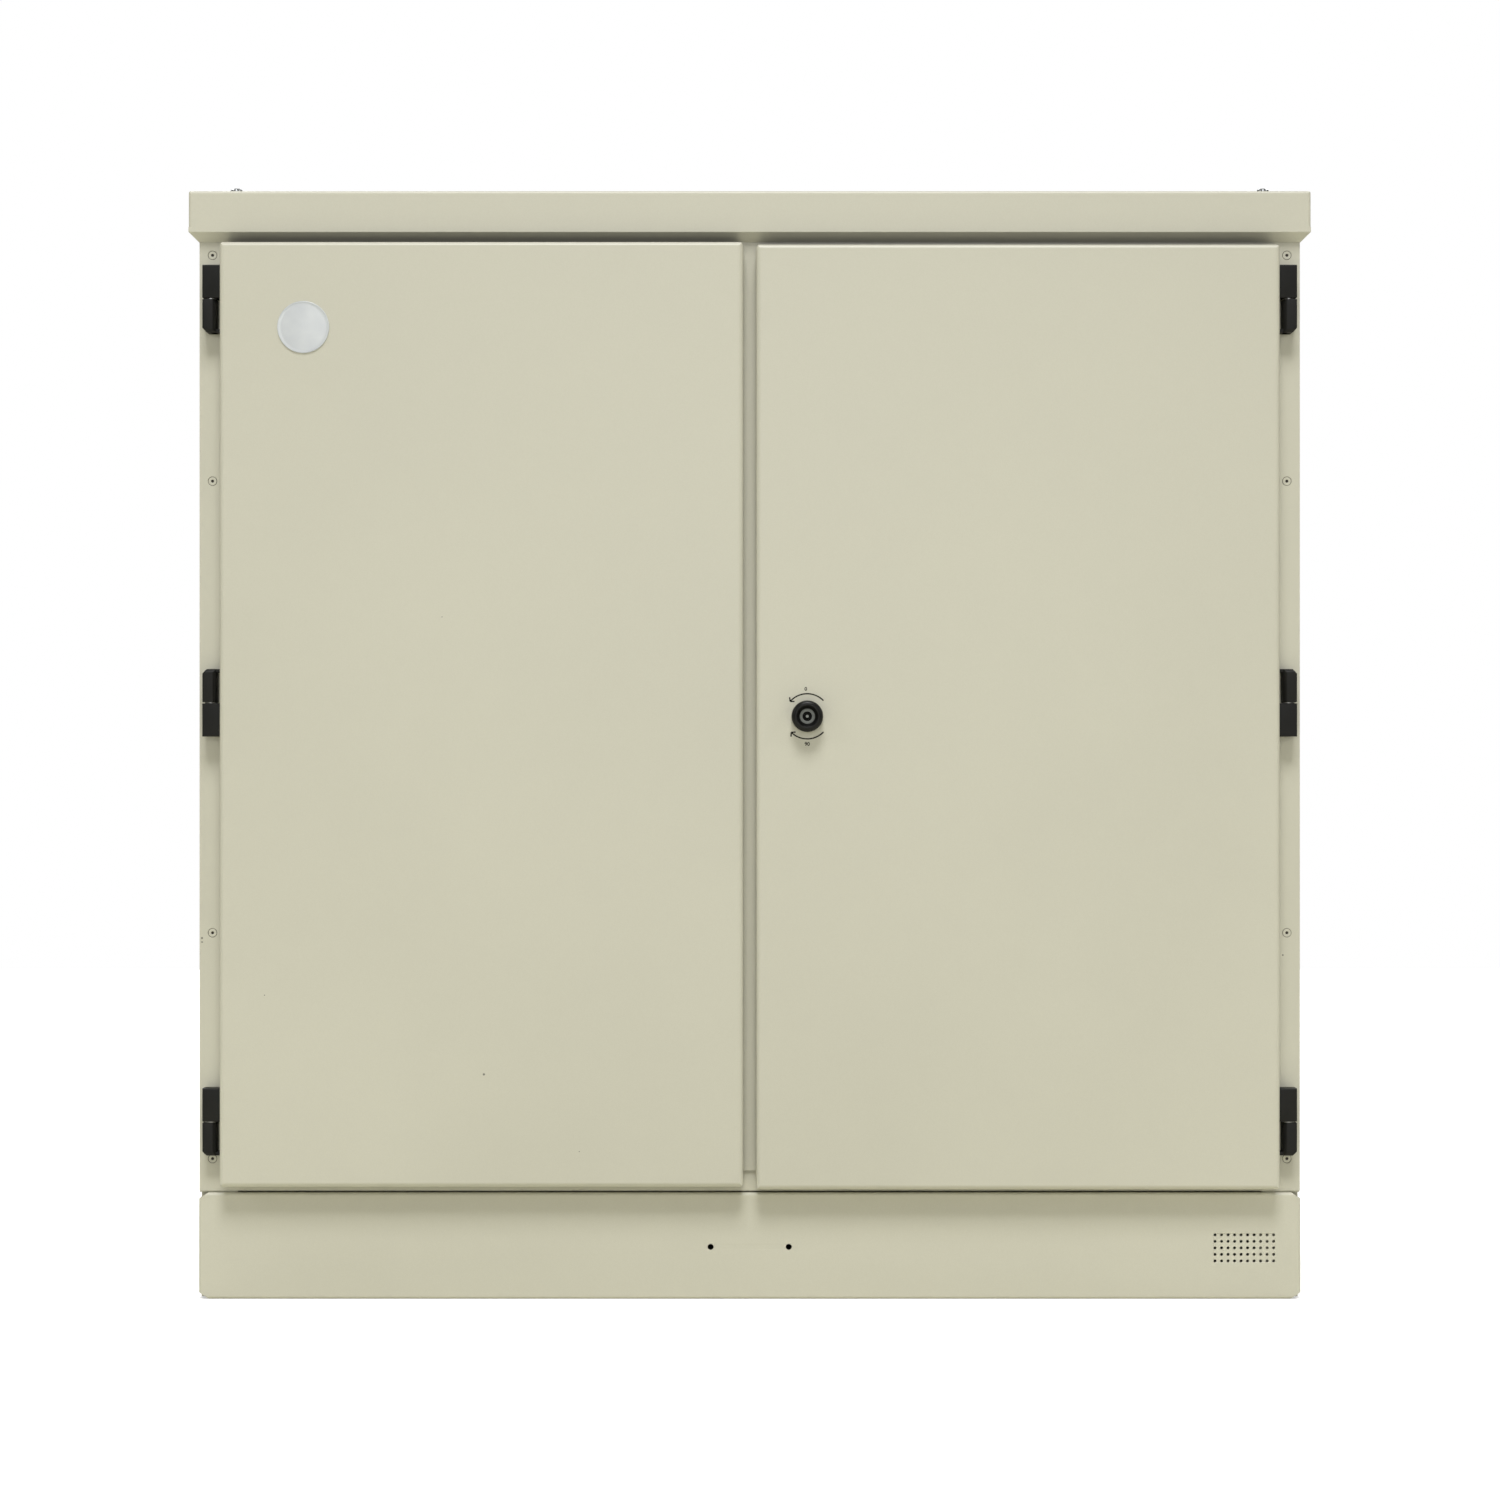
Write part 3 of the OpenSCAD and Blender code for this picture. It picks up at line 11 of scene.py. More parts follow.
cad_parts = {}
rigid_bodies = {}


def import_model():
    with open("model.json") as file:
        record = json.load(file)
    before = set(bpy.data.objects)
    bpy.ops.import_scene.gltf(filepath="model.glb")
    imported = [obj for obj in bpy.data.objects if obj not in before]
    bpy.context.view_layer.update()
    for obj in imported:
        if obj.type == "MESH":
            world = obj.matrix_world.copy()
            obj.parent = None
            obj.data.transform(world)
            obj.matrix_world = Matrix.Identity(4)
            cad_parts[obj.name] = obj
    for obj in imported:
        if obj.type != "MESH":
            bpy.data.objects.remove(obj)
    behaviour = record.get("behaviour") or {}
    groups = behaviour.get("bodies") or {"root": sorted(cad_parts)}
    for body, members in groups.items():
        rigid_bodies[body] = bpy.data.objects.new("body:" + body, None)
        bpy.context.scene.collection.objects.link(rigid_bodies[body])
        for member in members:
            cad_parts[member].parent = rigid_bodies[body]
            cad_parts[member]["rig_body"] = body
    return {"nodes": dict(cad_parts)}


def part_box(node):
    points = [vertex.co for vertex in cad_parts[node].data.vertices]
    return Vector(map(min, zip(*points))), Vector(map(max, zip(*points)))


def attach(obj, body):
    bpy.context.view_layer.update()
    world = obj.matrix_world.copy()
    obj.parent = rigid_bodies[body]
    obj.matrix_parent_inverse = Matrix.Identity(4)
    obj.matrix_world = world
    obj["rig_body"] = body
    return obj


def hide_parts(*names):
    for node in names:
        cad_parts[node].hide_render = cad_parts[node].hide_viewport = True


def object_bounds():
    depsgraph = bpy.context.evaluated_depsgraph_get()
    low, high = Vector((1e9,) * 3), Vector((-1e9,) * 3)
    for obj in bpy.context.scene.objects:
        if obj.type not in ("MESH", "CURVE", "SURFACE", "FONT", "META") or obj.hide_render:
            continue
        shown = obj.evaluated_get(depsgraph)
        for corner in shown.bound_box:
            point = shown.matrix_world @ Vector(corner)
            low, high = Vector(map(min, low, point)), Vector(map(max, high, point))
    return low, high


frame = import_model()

cad_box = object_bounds()

# Sizes of pieces are in millimetres, and are carried to metres by MM where they are used.
MM = 0.001
PI = math.pi
SIDES = {"left": -1, "right": 1}
HINGES = ("bottom", "middle", "top")
NEAR = 0.01 * MM
WELD = 0.002 * MM
FINE_WELD = 0.001 * MM


# ---------------------------------------------------------------- finishes

def finish_base(name, roughness, metallic=0.0):
    """A new material with its shader, and its node tree."""
    material = bpy.data.materials.new(name)
    material.use_nodes = True
    tree = material.node_tree
    shader = tree.nodes["Principled BSDF"]
    shader.inputs["Roughness"].default_value = roughness
    shader.inputs["Metallic"].default_value = metallic
    return material, tree, shader


def place(tree, stretch=(1, 1, 1), shift=(0, 0, 0)):
    """Object coordinates, stretched and shifted."""
    coordinates = tree.nodes.new("ShaderNodeTexCoord")
    mapping = tree.nodes.new("ShaderNodeMapping")
    mapping.inputs["Scale"].default_value = stretch
    mapping.inputs["Location"].default_value = shift
    tree.links.new(coordinates.outputs["Object"], mapping.inputs["Vector"])
    return mapping.outputs["Vector"]


def grain(tree, where, per_metre, detail=2.0, roughness=0.5):
    """Noise of so many lumps a metre."""
    noise = tree.nodes.new("ShaderNodeTexNoise")
    noise.inputs["Scale"].default_value = per_metre
    noise.inputs["Detail"].default_value = detail
    noise.inputs["Roughness"].default_value = roughness
    tree.links.new(where, noise.inputs["Vector"])
    return noise.outputs["Fac"]


def blend_colours(tree, factor, stops):
    """A colour ramp over a factor. Stops are (place, colour)."""
    ramp = tree.nodes.new("ShaderNodeValToRGB")
    while len(ramp.color_ramp.elements) < len(stops):
        ramp.color_ramp.elements.new(0.5)
    for element, (at, colour) in zip(ramp.color_ramp.elements, stops):
        element.position = at
        element.color = (*colour, 1.0)
    tree.links.new(factor, ramp.inputs["Fac"])
    return ramp.outputs["Color"]


def remap(tree, value, old, new):
    """A value carried from one range to another, each a pair of its ends."""
    node = tree.nodes.new("ShaderNodeMapRange")
    for socket, number in zip(("From Min", "From Max", "To Min", "To Max"), old + new):
        node.inputs[socket].default_value = number
    tree.links.new(value, node.inputs["Value"])
    return node.outputs["Result"]


def multiply(tree, colour, other):
    """Two colours multiplied."""
    node = tree.nodes.new("ShaderNodeMix")
    node.data_type = "RGBA"
    node.blend_type = "MULTIPLY"
    node.inputs["Factor"].default_value = 1.0
    tree.links.new(colour, node.inputs["A"])
    tree.links.new(other, node.inputs["B"])
    return node.outputs["Result"]


def relief(tree, shader, height, depth, strength=1.0, under=None):
    """Bump from a height, in metres, chained on another one if given."""
    node = tree.nodes.new("ShaderNodeBump")
    node.inputs["Distance"].default_value = depth
    node.inputs["Strength"].default_value = strength
    tree.links.new(height, node.inputs["Height"])
    if under is not None:
        tree.links.new(under, node.inputs["Normal"])
    tree.links.new(node.outputs["Normal"], shader.inputs["Normal"])
    return node.outputs["Normal"]


def vector_maths(tree, operation, first, second):
    """A vector node that works on a socket and a constant."""
    node = tree.nodes.new("ShaderNodeVectorMath")
    node.operation = operation
    node.inputs[1].default_value = second
    tree.links.new(first, node.inputs[0])
    return node


def shade(colour, factor):
    """A colour made darker or lighter."""
    return tuple(channel * factor for channel in colour)


COAT_COLOUR = (0.645, 0.632, 0.530)
# The dark brown of the painted shade inside recesses in the coat.
COAT_RECESS_SHADE = (0.07, 0.05, 0.035)
CHIP_SHADE = 0.28
CHIP_CORE = 0.6
MIDDLE_OF_NOISE = (0.3, 0.7)


def powder_coat(name, shift=0.0, chips=(), depth=None):
    """Satin cream powder coat: a soft cloud, a fine orange peel, small chips at given places, and painted
    shade that darkens whatever lies behind a given depth, as in a recess."""
    material, tree, shader = finish_base(name, roughness=0.37)
    where = place(tree, shift=(shift, shift, 0))
    cloud = grain(tree, where, per_metre=3.2, detail=3.0)
    colour = blend_colours(tree, cloud, ((0.30, shade(COAT_COLOUR, 0.972)), (0.72, shade(COAT_COLOUR, 1.02))))
    speck = grain(tree, where, per_metre=900, detail=1.0)
    tint = blend_colours(tree, speck, ((0.30, (0.975, 0.973, 0.965)), (0.70, (1.0, 1.0, 1.0))))
    colour = multiply(tree, colour, tint)
    for centre, radius in chips:
        distance = vector_maths(tree, "DISTANCE", place(tree), centre)
        spot = remap(tree, distance.outputs["Value"], (radius * CHIP_CORE, radius), (CHIP_SHADE, 1.0))
        mark = tree.nodes.new("ShaderNodeCombineColor")
        for socket in ("Red", "Green", "Blue"):
            tree.links.new(spot, mark.inputs[socket])
        colour = multiply(tree, colour, mark.outputs["Color"])
    # Painted shade: behind the given depth the coat goes dark brown, standing in for the shade inside
    # recesses.
    if depth is not None:
        split = tree.nodes.new("ShaderNodeSeparateXYZ")
        tree.links.new(place(tree), split.inputs[0])
        fill = remap(tree, split.outputs["Y"], (depth + 0.1 * MM, depth + 0.3 * MM), (0, 1))
        colour = multiply(tree, colour, blend_colours(tree, fill, ((0, (1, 1, 1)), (1, COAT_RECESS_SHADE))))
    tree.links.new(colour, shader.inputs["Base Color"])
    tree.links.new(remap(tree, cloud, MIDDLE_OF_NOISE, (0.33, 0.41)), shader.inputs["Roughness"])
    peel = grain(tree, where, per_metre=240, detail=1.0)
    broad = relief(tree, shader, peel, depth=0.06 * MM, strength=0.5)
    fine = grain(tree, where, per_metre=1100, detail=2.0)
    relief(tree, shader, fine, depth=0.03 * MM, strength=0.5, under=broad)
    return material


def galvanised_steel():
    """Hot-dip zinc: grey spangles, each with its own brightness and gloss."""
    spangles_a_metre = 95
    bends_a_metre = 60
    bend_depth = 12 * MM
    material, tree, shader = finish_base("galvanised", roughness=0.42, metallic=0.85)
    where = place(tree)
    bend = tree.nodes.new("ShaderNodeTexNoise")
    bend.inputs["Scale"].default_value = bends_a_metre
    tree.links.new(where, bend.inputs["Vector"])
    offset = vector_maths(tree, "MULTIPLY_ADD", bend.outputs["Color"], (bend_depth, bend_depth, bend_depth))
    tree.links.new(where, offset.inputs[2])
    spangle = tree.nodes.new("ShaderNodeTexVoronoi")
    spangle.inputs["Scale"].default_value = spangles_a_metre
    tree.links.new(offset.outputs["Vector"], spangle.inputs["Vector"])
    split = tree.nodes.new("ShaderNodeSeparateColor")
    tree.links.new(spangle.outputs["Color"], split.inputs["Color"])
    colour = blend_colours(tree, split.outputs["Red"],
                           ((0.0, (0.42, 0.43, 0.44)), (0.6, (0.52, 0.53, 0.53)), (1.0, (0.62, 0.63, 0.63))))
    haze = grain(tree, where, per_metre=9, detail=4.0)
    colour = multiply(tree, colour, blend_colours(tree, haze, ((0.3, (0.86, 0.87, 0.88)), (0.7, (1, 1, 1)))))
    tree.links.new(colour, shader.inputs["Base Color"])
    tree.links.new(remap(tree, split.outputs["Green"], (0, 1), (0.30, 0.52)), shader.inputs["Roughness"])
    relief(tree, shader, split.outputs["Blue"], depth=0.04 * MM, strength=0.4)
    return material


def plated(name, colour, roughness, metallic=1.0, brush=(1, 1, 1)):
    """Plated or bare metal: fine drawn grain and a slight cloud."""
    material, tree, shader = finish_base(name, roughness, metallic)
    where = place(tree, stretch=brush)
    drawn = grain(tree, where, per_metre=700, detail=3.0, roughness=0.6)
    cloud = grain(tree, place(tree), per_metre=40, detail=3.0)
    tone = blend_colours(tree, cloud, ((0.3, shade(colour, 0.86)), (0.7, shade(colour, 1.06))))
    tree.links.new(tone, shader.inputs["Base Color"])
    gloss = remap(tree, drawn, MIDDLE_OF_NOISE, (roughness - 0.07, roughness + 0.09))
    tree.links.new(gloss, shader.inputs["Roughness"])
    relief(tree, shader, drawn, depth=0.03 * MM, strength=0.35)
    return material


def moulded_plastic(name, colour, roughness):
    """Moulded plastic with a fine spark-eroded texture."""
    material, tree, shader = finish_base(name, roughness)
    shader.inputs["Specular IOR Level"].default_value = 0.3
    where = place(tree)
    cloud = grain(tree, where, per_metre=70, detail=3.0)
    tone = blend_colours(tree, cloud, ((0.3, shade(colour, 0.85)), (0.7, shade(colour, 1.15))))
    tree.links.new(tone, shader.inputs["Base Color"])
    fine = grain(tree, where, per_metre=1500, detail=2.0, roughness=0.6)
    gloss = remap(tree, fine, MIDDLE_OF_NOISE, (roughness - 0.05, roughness + 0.08))
    tree.links.new(gloss, shader.inputs["Roughness"])
    relief(tree, shader, fine, depth=0.04 * MM, strength=0.5)
    return material


def keyed_metal(name, colour, centre, socket, pin):
    """Plated metal with a socket whose inside is painted nearly black as painted shade, but for a lighter
    pin in the middle, both by their radii in millimetres."""
    reach = 10
    edge = 0.04
    material, tree, shader = finish_base(name, roughness=0.42, metallic=0.8)
    where = place(tree)
    flat = vector_maths(tree, "MULTIPLY", where, (1, 0, 1))
    distance = vector_maths(tree, "DISTANCE", flat.outputs["Vector"], (centre.x, 0, centre.z))
    # Painted shade: the socket's inside is coloured nearly black, where shade falls in the hole.
    dark = shade(colour, 0.02)
    bright = shade(colour, 1.5)
    across = remap(tree, distance.outputs["Value"], (0, reach * MM), (0, 1))
    rings = ((pin - edge, bright), (pin + edge, dark), (socket - edge, dark), (socket + edge, colour))
    tone = blend_colours(tree, across, [(radius / reach, tint) for radius, tint in rings])
    drawn = grain(tree, where, per_metre=900, detail=3.0, roughness=0.6)
    tone = multiply(tree, tone, blend_colours(tree, drawn, ((0.3, (0.86, 0.86, 0.86)), (0.7, (1, 1, 1)))))
    tree.links.new(tone, shader.inputs["Base Color"])
    tree.links.new(remap(tree, drawn, MIDDLE_OF_NOISE, (0.36, 0.50)), shader.inputs["Roughness"])
    relief(tree, shader, drawn, depth=0.03 * MM, strength=0.35)
    return material


def cellular_foam():
    """Closed-cell sealing foam: a matt dark skin full of small open pores, painted darker in the pits as
    painted shade.
    """
    pores_a_metre = 650
    material, tree, shader = finish_base("foam", roughness=0.93)
    where = place(tree)
    cells = tree.nodes.new("ShaderNodeTexVoronoi")
    cells.inputs["Scale"].default_value = pores_a_metre
    tree.links.new(where, cells.inputs["Vector"])
    # The pores' pits are painted darker than the skin: painted shade in the hollows.
    pore, wall, skin = (0.012, 0.012, 0.012), (0.030, 0.030, 0.031), (0.048, 0.048, 0.05)
    tone = blend_colours(tree, cells.outputs["Distance"], ((0.0, pore), (0.35, wall), (1.0, skin)))
    tree.links.new(tone, shader.inputs["Base Color"])
    relief(tree, shader, cells.outputs["Distance"], depth=0.4 * MM, strength=0.8)
    return material


def badge_resin():
    """A pale plain face under clear domed resin."""
    material, tree, shader = finish_base("badge", roughness=0.35)
    where = place(tree)
    cloud = grain(tree, where, per_metre=60, detail=3.0)
    tone = blend_colours(tree, cloud, ((0.3, (0.60, 0.63, 0.67)), (0.7, (0.66, 0.69, 0.72))))
    tree.links.new(tone, shader.inputs["Base Color"])
    shader.inputs["Coat Weight"].default_value = 0.6
    shader.inputs["Coat Roughness"].default_value = 0.18
    relief(tree, shader, grain(tree, where, per_metre=220, detail=1.0), depth=0.04 * MM, strength=0.25)
    return material


DOOR_FACE = -0.187
POST_FACE = -0.160
# Chips in the coat, in metres: where each is, and its radius.
DOOR_CHIPS = (
    ((-0.2635, DOOR_FACE, 0.2265), 0.0014),
    ((-0.4810, DOOR_FACE, 0.3050), 0.0007),
    ((-0.1690, DOOR_FACE, 0.1500), 0.0006),
    ((-0.3050, DOOR_FACE, 0.6800), 0.0006),
)
POST_CHIPS = (
    ((-0.5475, POST_FACE, 0.3600), 0.0012),
    ((-0.5475, POST_FACE, 0.3560), 0.0010),
    ((0.5330, POST_FACE, 0.3430), 0.0010),
)
LOCK_SOCKET = 4.8
LOCK_PIN = 1.4

coat = powder_coat("coat")
coat_left_door = powder_coat("coat_left_door", 1.7, DOOR_CHIPS)
coat_right_door = powder_coat("coat_right_door", 3.1)
coat_frame = powder_coat("coat_frame", 5.3, POST_CHIPS)
galvanised = galvanised_steel()
zinc = plated("zinc", (0.60, 0.62, 0.64), 0.30)
steel = plated("steel", (0.40, 0.40, 0.40), 0.36)
brass = plated("brass", (0.72, 0.50, 0.20), 0.27, brush=(1, 8, 8))
barrel_metal = plated("barrel_metal", (0.17, 0.18, 0.17), 0.46, 0.8)
black_plastic = moulded_plastic("black_plastic", (0.0075, 0.0075, 0.0070), 0.50)
bezel_plastic = moulded_plastic("bezel_plastic", (0.005, 0.005, 0.0045), 0.36)
foam = cellular_foam()
badge_face = badge_resin()
# The screws' coat is painted dark behind the heads' faces: painted shade in the groove and the drive.
screw_coat = powder_coat("screw_coat", 2.3, depth=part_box("frame_screws")[0].y)
barrel_low, barrel_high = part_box("lock_body")
# The rotor's socket is painted dark as painted shade, round a lighter pin.
rotor_metal = keyed_metal("rotor_metal", (0.20, 0.21, 0.20), centre=(barrel_low + barrel_high) / 2,
                          socket=LOCK_SOCKET, pin=LOCK_PIN)
print_ink = moulded_plastic("print_ink", (0.006, 0.005, 0.003), 0.60)


# ---------------------------------------------------------------- making pieces

def piece(name, shape, material, body, replaced, smooth):
    """A finished piece from a bmesh: shaded smooth up to an angle, painted, and riding on its body."""
    mesh = bpy.data.meshes.new(name)
    bmesh.ops.recalc_face_normals(shape, faces=shape.faces)
    shape.to_mesh(mesh)
    shape.free()
    mesh.polygons.foreach_set("use_smooth", [True] * len(mesh.polygons))
    mesh.set_sharp_from_angle(angle=math.radians(smooth))
    mesh.materials.append(material)
    made = bpy.data.objects.new(name, mesh)
    bpy.context.scene.collection.objects.link(made)
    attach(made, body)
    if replaced:
        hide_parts(*replaced)
    return made


def body_of(node):
    """The body that a node of the construction rides on."""
    return frame["nodes"][node]["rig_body"]


def copied(node):
    """A merged copy of a node's own shape."""
    shape = bmesh.new()
    shape.from_mesh(frame["nodes"][node].data)
    bmesh.ops.remove_doubles(shape, verts=shape.verts, dist=WELD)
    return shape


def sheet_piece(node, shape, material):
    """A changed copy of a node, shaded flat across its broad faces, in the node's stead."""
    bmesh.ops.triangulate(shape, faces=shape.faces)
    made = piece(node + "_finished", shape, material, body_of(node), (node,), 40)
    even = made.modifiers.new("even_faces", "WEIGHTED_NORMAL")
    even.keep_sharp = True
    even.weight = 100


def turns_over(edge, degrees):
    """Whether the faces on both sides of an edge turn by more than an angle."""
    return edge.is_manifold and edge.calc_face_angle(0) > math.radians(degrees)


def bevelled(shape, edges, width, segments):
    """Rounds the given edges, by a width in millimetres."""
    bmesh.ops.bevel(shape, geom=edges, offset=width * MM, offset_type="OFFSET", segments=segments,
                    affect="EDGES", profile=0.5, material=-1, clamp_overlap=True, loop_slide=True)


FLAT_ANGLE = 0.5
SHARP_SHEET_ANGLE = 28
SHARP_MOULDED_ANGLE = 20


def eased(node, material, width, segments):
    """The node's own shape with its sharp edges eased, as a press, a file or a coat of powder leaves them."""
    shape = copied(node)
    bmesh.ops.dissolve_limit(shape, angle_limit=math.radians(FLAT_ANGLE), verts=shape.verts,
                             edges=shape.edges)
    bevelled(shape, [edge for edge in shape.edges if turns_over(edge, SHARP_SHEET_ANGLE)], width, segments)
    sheet_piece(node, shape, material)


def lathe(outline, steps):
    """A ring, or a solid if both ends are on the axis, from (radius, height) points turned about +Z."""
    shape = bmesh.new()
    points = [shape.verts.new((r, 0, z)) for r, z in outline]
    following = points[1:] if outline[0][0] == outline[-1][0] == 0 else points[1:] + points[:1]
    edges = [shape.edges.new(pair) for pair in zip(points, following)]
    bmesh.ops.spin(shape, geom=points + edges, cent=(0, 0, 0), axis=(0, 0, 1), angle=2 * PI,
                   steps=steps, use_merge=True, use_duplicate=False)
    bmesh.ops.remove_doubles(shape, verts=shape.verts, dist=FINE_WELD)
    return shape


def arc(centre, radius, start, end, steps):
    """Points on an arc in degrees, both ends included."""
    turn = [math.radians(start + (end - start) * i / steps) for i in range(steps + 1)]
    return [(centre[0] + radius * math.cos(a), centre[1] + radius * math.sin(a)) for a in turn]


def merged(shapes):
    """Several bmeshes as one."""
    whole = bmesh.new()
    for shape in shapes:
        mesh = bpy.data.meshes.new("part_of_a_group")
        shape.to_mesh(mesh)
        shape.free()
        whole.from_mesh(mesh)
        bpy.data.meshes.remove(mesh)
    return whole


def moved(shape, matrix):
    """The shape, carried by a matrix."""
    bmesh.ops.transform(shape, matrix=matrix, verts=shape.verts)
    return shape


FACING_FRONT = Matrix.Rotation(math.radians(90), 4, "X")


def millimetres(points):
    """Points given in millimetres, in metres."""
    return [(x * MM, y * MM) for x, y in points]


def extruded(corners, along):
    """A closed block: a flat face on the given corners, drawn out along a vector."""
    shape = bmesh.new()
    face = shape.faces.new([shape.verts.new(corner) for corner in corners])
    grown = bmesh.ops.extrude_face_region(shape, geom=[face])["geom"]
    bmesh.ops.translate(shape, vec=along, verts=[v for v in grown if isinstance(v, bmesh.types.BMVert)])
    return shape


def round_edges(shape, chosen, width, segments):
    """Rounds the edges whose middle point passes a test."""
    edges = []
    for edge in shape.edges:
        start, end = (v.co for v in edge.verts)
        if turns_over(edge, SHARP_MOULDED_ANGLE) and chosen((start + end) / 2):
            edges.append(edge)
    bevelled(shape, edges, width, segments)


# ---------------------------------------------------------------- sheet metal and fittings

# Finish, slot, width eased and nodes. The foam is soft, so its edges take a wide round of more steps.
EASING_STEPS = 2
FOAM_EASING_STEPS = 3
EASED = (
    (coat_frame, "coat", 0.5, ("front_frame", "centre_post")),
    (coat, "coat", 0.6, ("side_panel_left", "side_panel_right", "rear_panel", "top_panel", "plinth_frame")),
    (coat, "coat", 0.35, ("left_door_stiffener", "right_door_stiffener")),
    (galvanised, "galvanised", 0.35, ("floor_plate_front", "floor_plate_rear", "rail_left_outer",
                                      "rail_left_inner", "rail_right_inner", "rail_right_outer",
                                      "cable_clamp_bar", "stay_guides", "left_stay", "right_stay")),
    (zinc, "zinc", 0.3, ("upper_rod", "lower_rod", "lock_nut")),
    (steel, "steel", 0.25, ("lock_cam",)),
    (black_plastic, "black_plastic", 0.5, ("rod_guides", "bolt_guides")),
    (brass, "brass", 0.4, ("earth_bar",)),
    (foam, "foam", 2.2, ("left_door_seal", "right_door_seal", "cable_slot_seal")),
)
for material, slot, width, nodes in EASED:
    for node in nodes:
        eased(node, material, width, FOAM_EASING_STEPS if material is foam else EASING_STEPS)

PAINTED = {
    "roof_cap": coat, "left_door": coat_left_door, "right_door": coat_right_door,
    "plinth_bolts": zinc, "centre_post_screws": zinc, "rail_bolts": zinc, "roof_bolts": zinc,
    "frame_hinge_screws": zinc, "left_door_hinge_screws": zinc, "right_door_hinge_screws": zinc,
    "top_bolt": zinc, "bottom_bolt": zinc, "hinge_pins": steel,
    "lock_body": barrel_metal, "lock_rotor": rotor_metal,
}
for node, material in PAINTED.items():
    mesh = frame["nodes"][node].data
    mesh.materials.clear()
    mesh.materials.append(material)


COVER_CUT_WIDE = 10
COVER_CUT_TALL = 7


def plinth_cover():
    """The cover's own shape, with its lower corners cut off aslant."""
    low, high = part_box("plinth_cover")
    shape = copied("plinth_cover")
    for way, edge in ((-1, low.x), (1, high.x)):
        outwards = Vector((way * COVER_CUT_TALL, 0, -COVER_CUT_WIDE)).normalized()
        cut = bmesh.ops.bisect_plane(shape, geom=shape.verts[:] + shape.edges[:] + shape.faces[:],
                                     plane_co=(edge, 0, low.z + COVER_CUT_TALL * MM), plane_no=outwards,
                                     clear_outer=True)
        rim = [e for e in cut["geom_cut"] if isinstance(e, bmesh.types.BMEdge)]
        bmesh.ops.holes_fill(shape, edges=rim, sides=0)
    sheet_piece("plinth_cover", shape, coat)


plinth_cover()


# ---------------------------------------------------------------- hinges

# Millimetres from the hinge's axis, with outwards meaning away from the door.
KNUCKLE_BORE_TO_FRONT = 7.2
DOOR_KNUCKLE_HALF = 7.8
FRAME_KNUCKLE_OUTER = 7.8
FRAME_KNUCKLE_INNER = 5.6
FRAME_KNUCKLE_FRONT = 7.4
KNUCKLE_FOOT = 9.6
KNUCKLE_FOOT_FRONT = 3.0

KNUCKLE_FOOT_TALL = 3.4
KNUCKLE_END_CUT_WIDE = 4.0
KNUCKLE_END_CUT_TALL = 4.4
FRAME_KNUCKLE_CHAMFER = 3.0
FRAME_KNUCKLE_ROUND = 1.2
DOOR_KNUCKLE_BACK_ROUND = 3.4
DOOR_KNUCKLE_FRONT_ROUND = 1.5
DOOR_KNUCKLE_EASING = 0.5
MOULDED_EASING = 0.4


def hinge_place(side, level):
    """The hinge's axis, and which way the frame's half lies from the door's half."""
    frame_low, frame_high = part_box("frame_knuckle_%s_%s" % (side, level))
    door_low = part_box("door_knuckle_%s_%s" % (side, level))[0]
    axis = Vector(((frame_low.x + frame_high.x) / 2, frame_low.y + KNUCKLE_BORE_TO_FRONT * MM, 0))
    towards_frame = 1 if frame_low.z > door_low.z else -1
    return axis, towards_frame


def half_height(low, high, towards):
    """Where a half meets the other one, and how tall it is in millimetres."""
    return (low.z if towards > 0 else high.z), (high.z - low.z) / MM


def knuckle_face(axis, side, outline, meeting, towards, front):
    """Front corners from an outline of (outwards, away from the other half)."""
    y = axis.y - front * MM
    return [(axis.x + SIDES[side] * out * MM, y, meeting + towards * up * MM) for out, up in outline]


def frame_knuckle(side, level):
    """The half screwed to the post: a narrow barrel with a flat front, its far outer corner cut off."""
    node = "frame_knuckle_%s_%s" % (side, level)
    low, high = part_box(node)
    axis, towards = hinge_place(side, level)
    meeting, tall = half_height(low, high, towards)
    outline = [(-FRAME_KNUCKLE_INNER, 0), (FRAME_KNUCKLE_OUTER, 0),
               (FRAME_KNUCKLE_OUTER, tall - KNUCKLE_END_CUT_TALL),
               (FRAME_KNUCKLE_OUTER - KNUCKLE_END_CUT_WIDE, tall), (-FRAME_KNUCKLE_INNER, tall)]
    corners = knuckle_face(axis, side, outline, meeting, towards, FRAME_KNUCKLE_FRONT)
    front = corners[0][1]
    inner = axis.x - SIDES[side] * FRAME_KNUCKLE_INNER * MM
    far = meeting + towards * tall * MM
    past_the_chamfer = 4.4 * MM
    shape = extruded(corners, (0, high.y - front, 0))
    round_edges(shape, lambda p: p.y < front + NEAR and (abs(p.x - inner) < NEAR or abs(p.z - far) < NEAR),
                FRAME_KNUCKLE_CHAMFER, 1)
    round_edges(shape, lambda p: p.y < front + NEAR and (p.x - axis.x) * SIDES[side] > past_the_chamfer,
                FRAME_KNUCKLE_ROUND, 2)
    round_edges(shape, lambda p: p.y < high.y - NEAR, MOULDED_EASING, 2)
    foot_low = tall - KNUCKLE_FOOT_TALL
    outline = [(-KNUCKLE_FOOT, foot_low), (0, foot_low), (0, tall), (-KNUCKLE_FOOT, tall)]
    corners = knuckle_face(axis, side, outline, meeting, towards, KNUCKLE_FOOT_FRONT)
    foot = extruded(corners, (0, high.y - corners[0][1], 0))
    round_edges(foot, lambda p: p.y < high.y - NEAR, MOULDED_EASING, 2)
    both = merged((shape, foot))
    piece(node + "_moulded", both, black_plastic, body_of(node), (node,), 30)


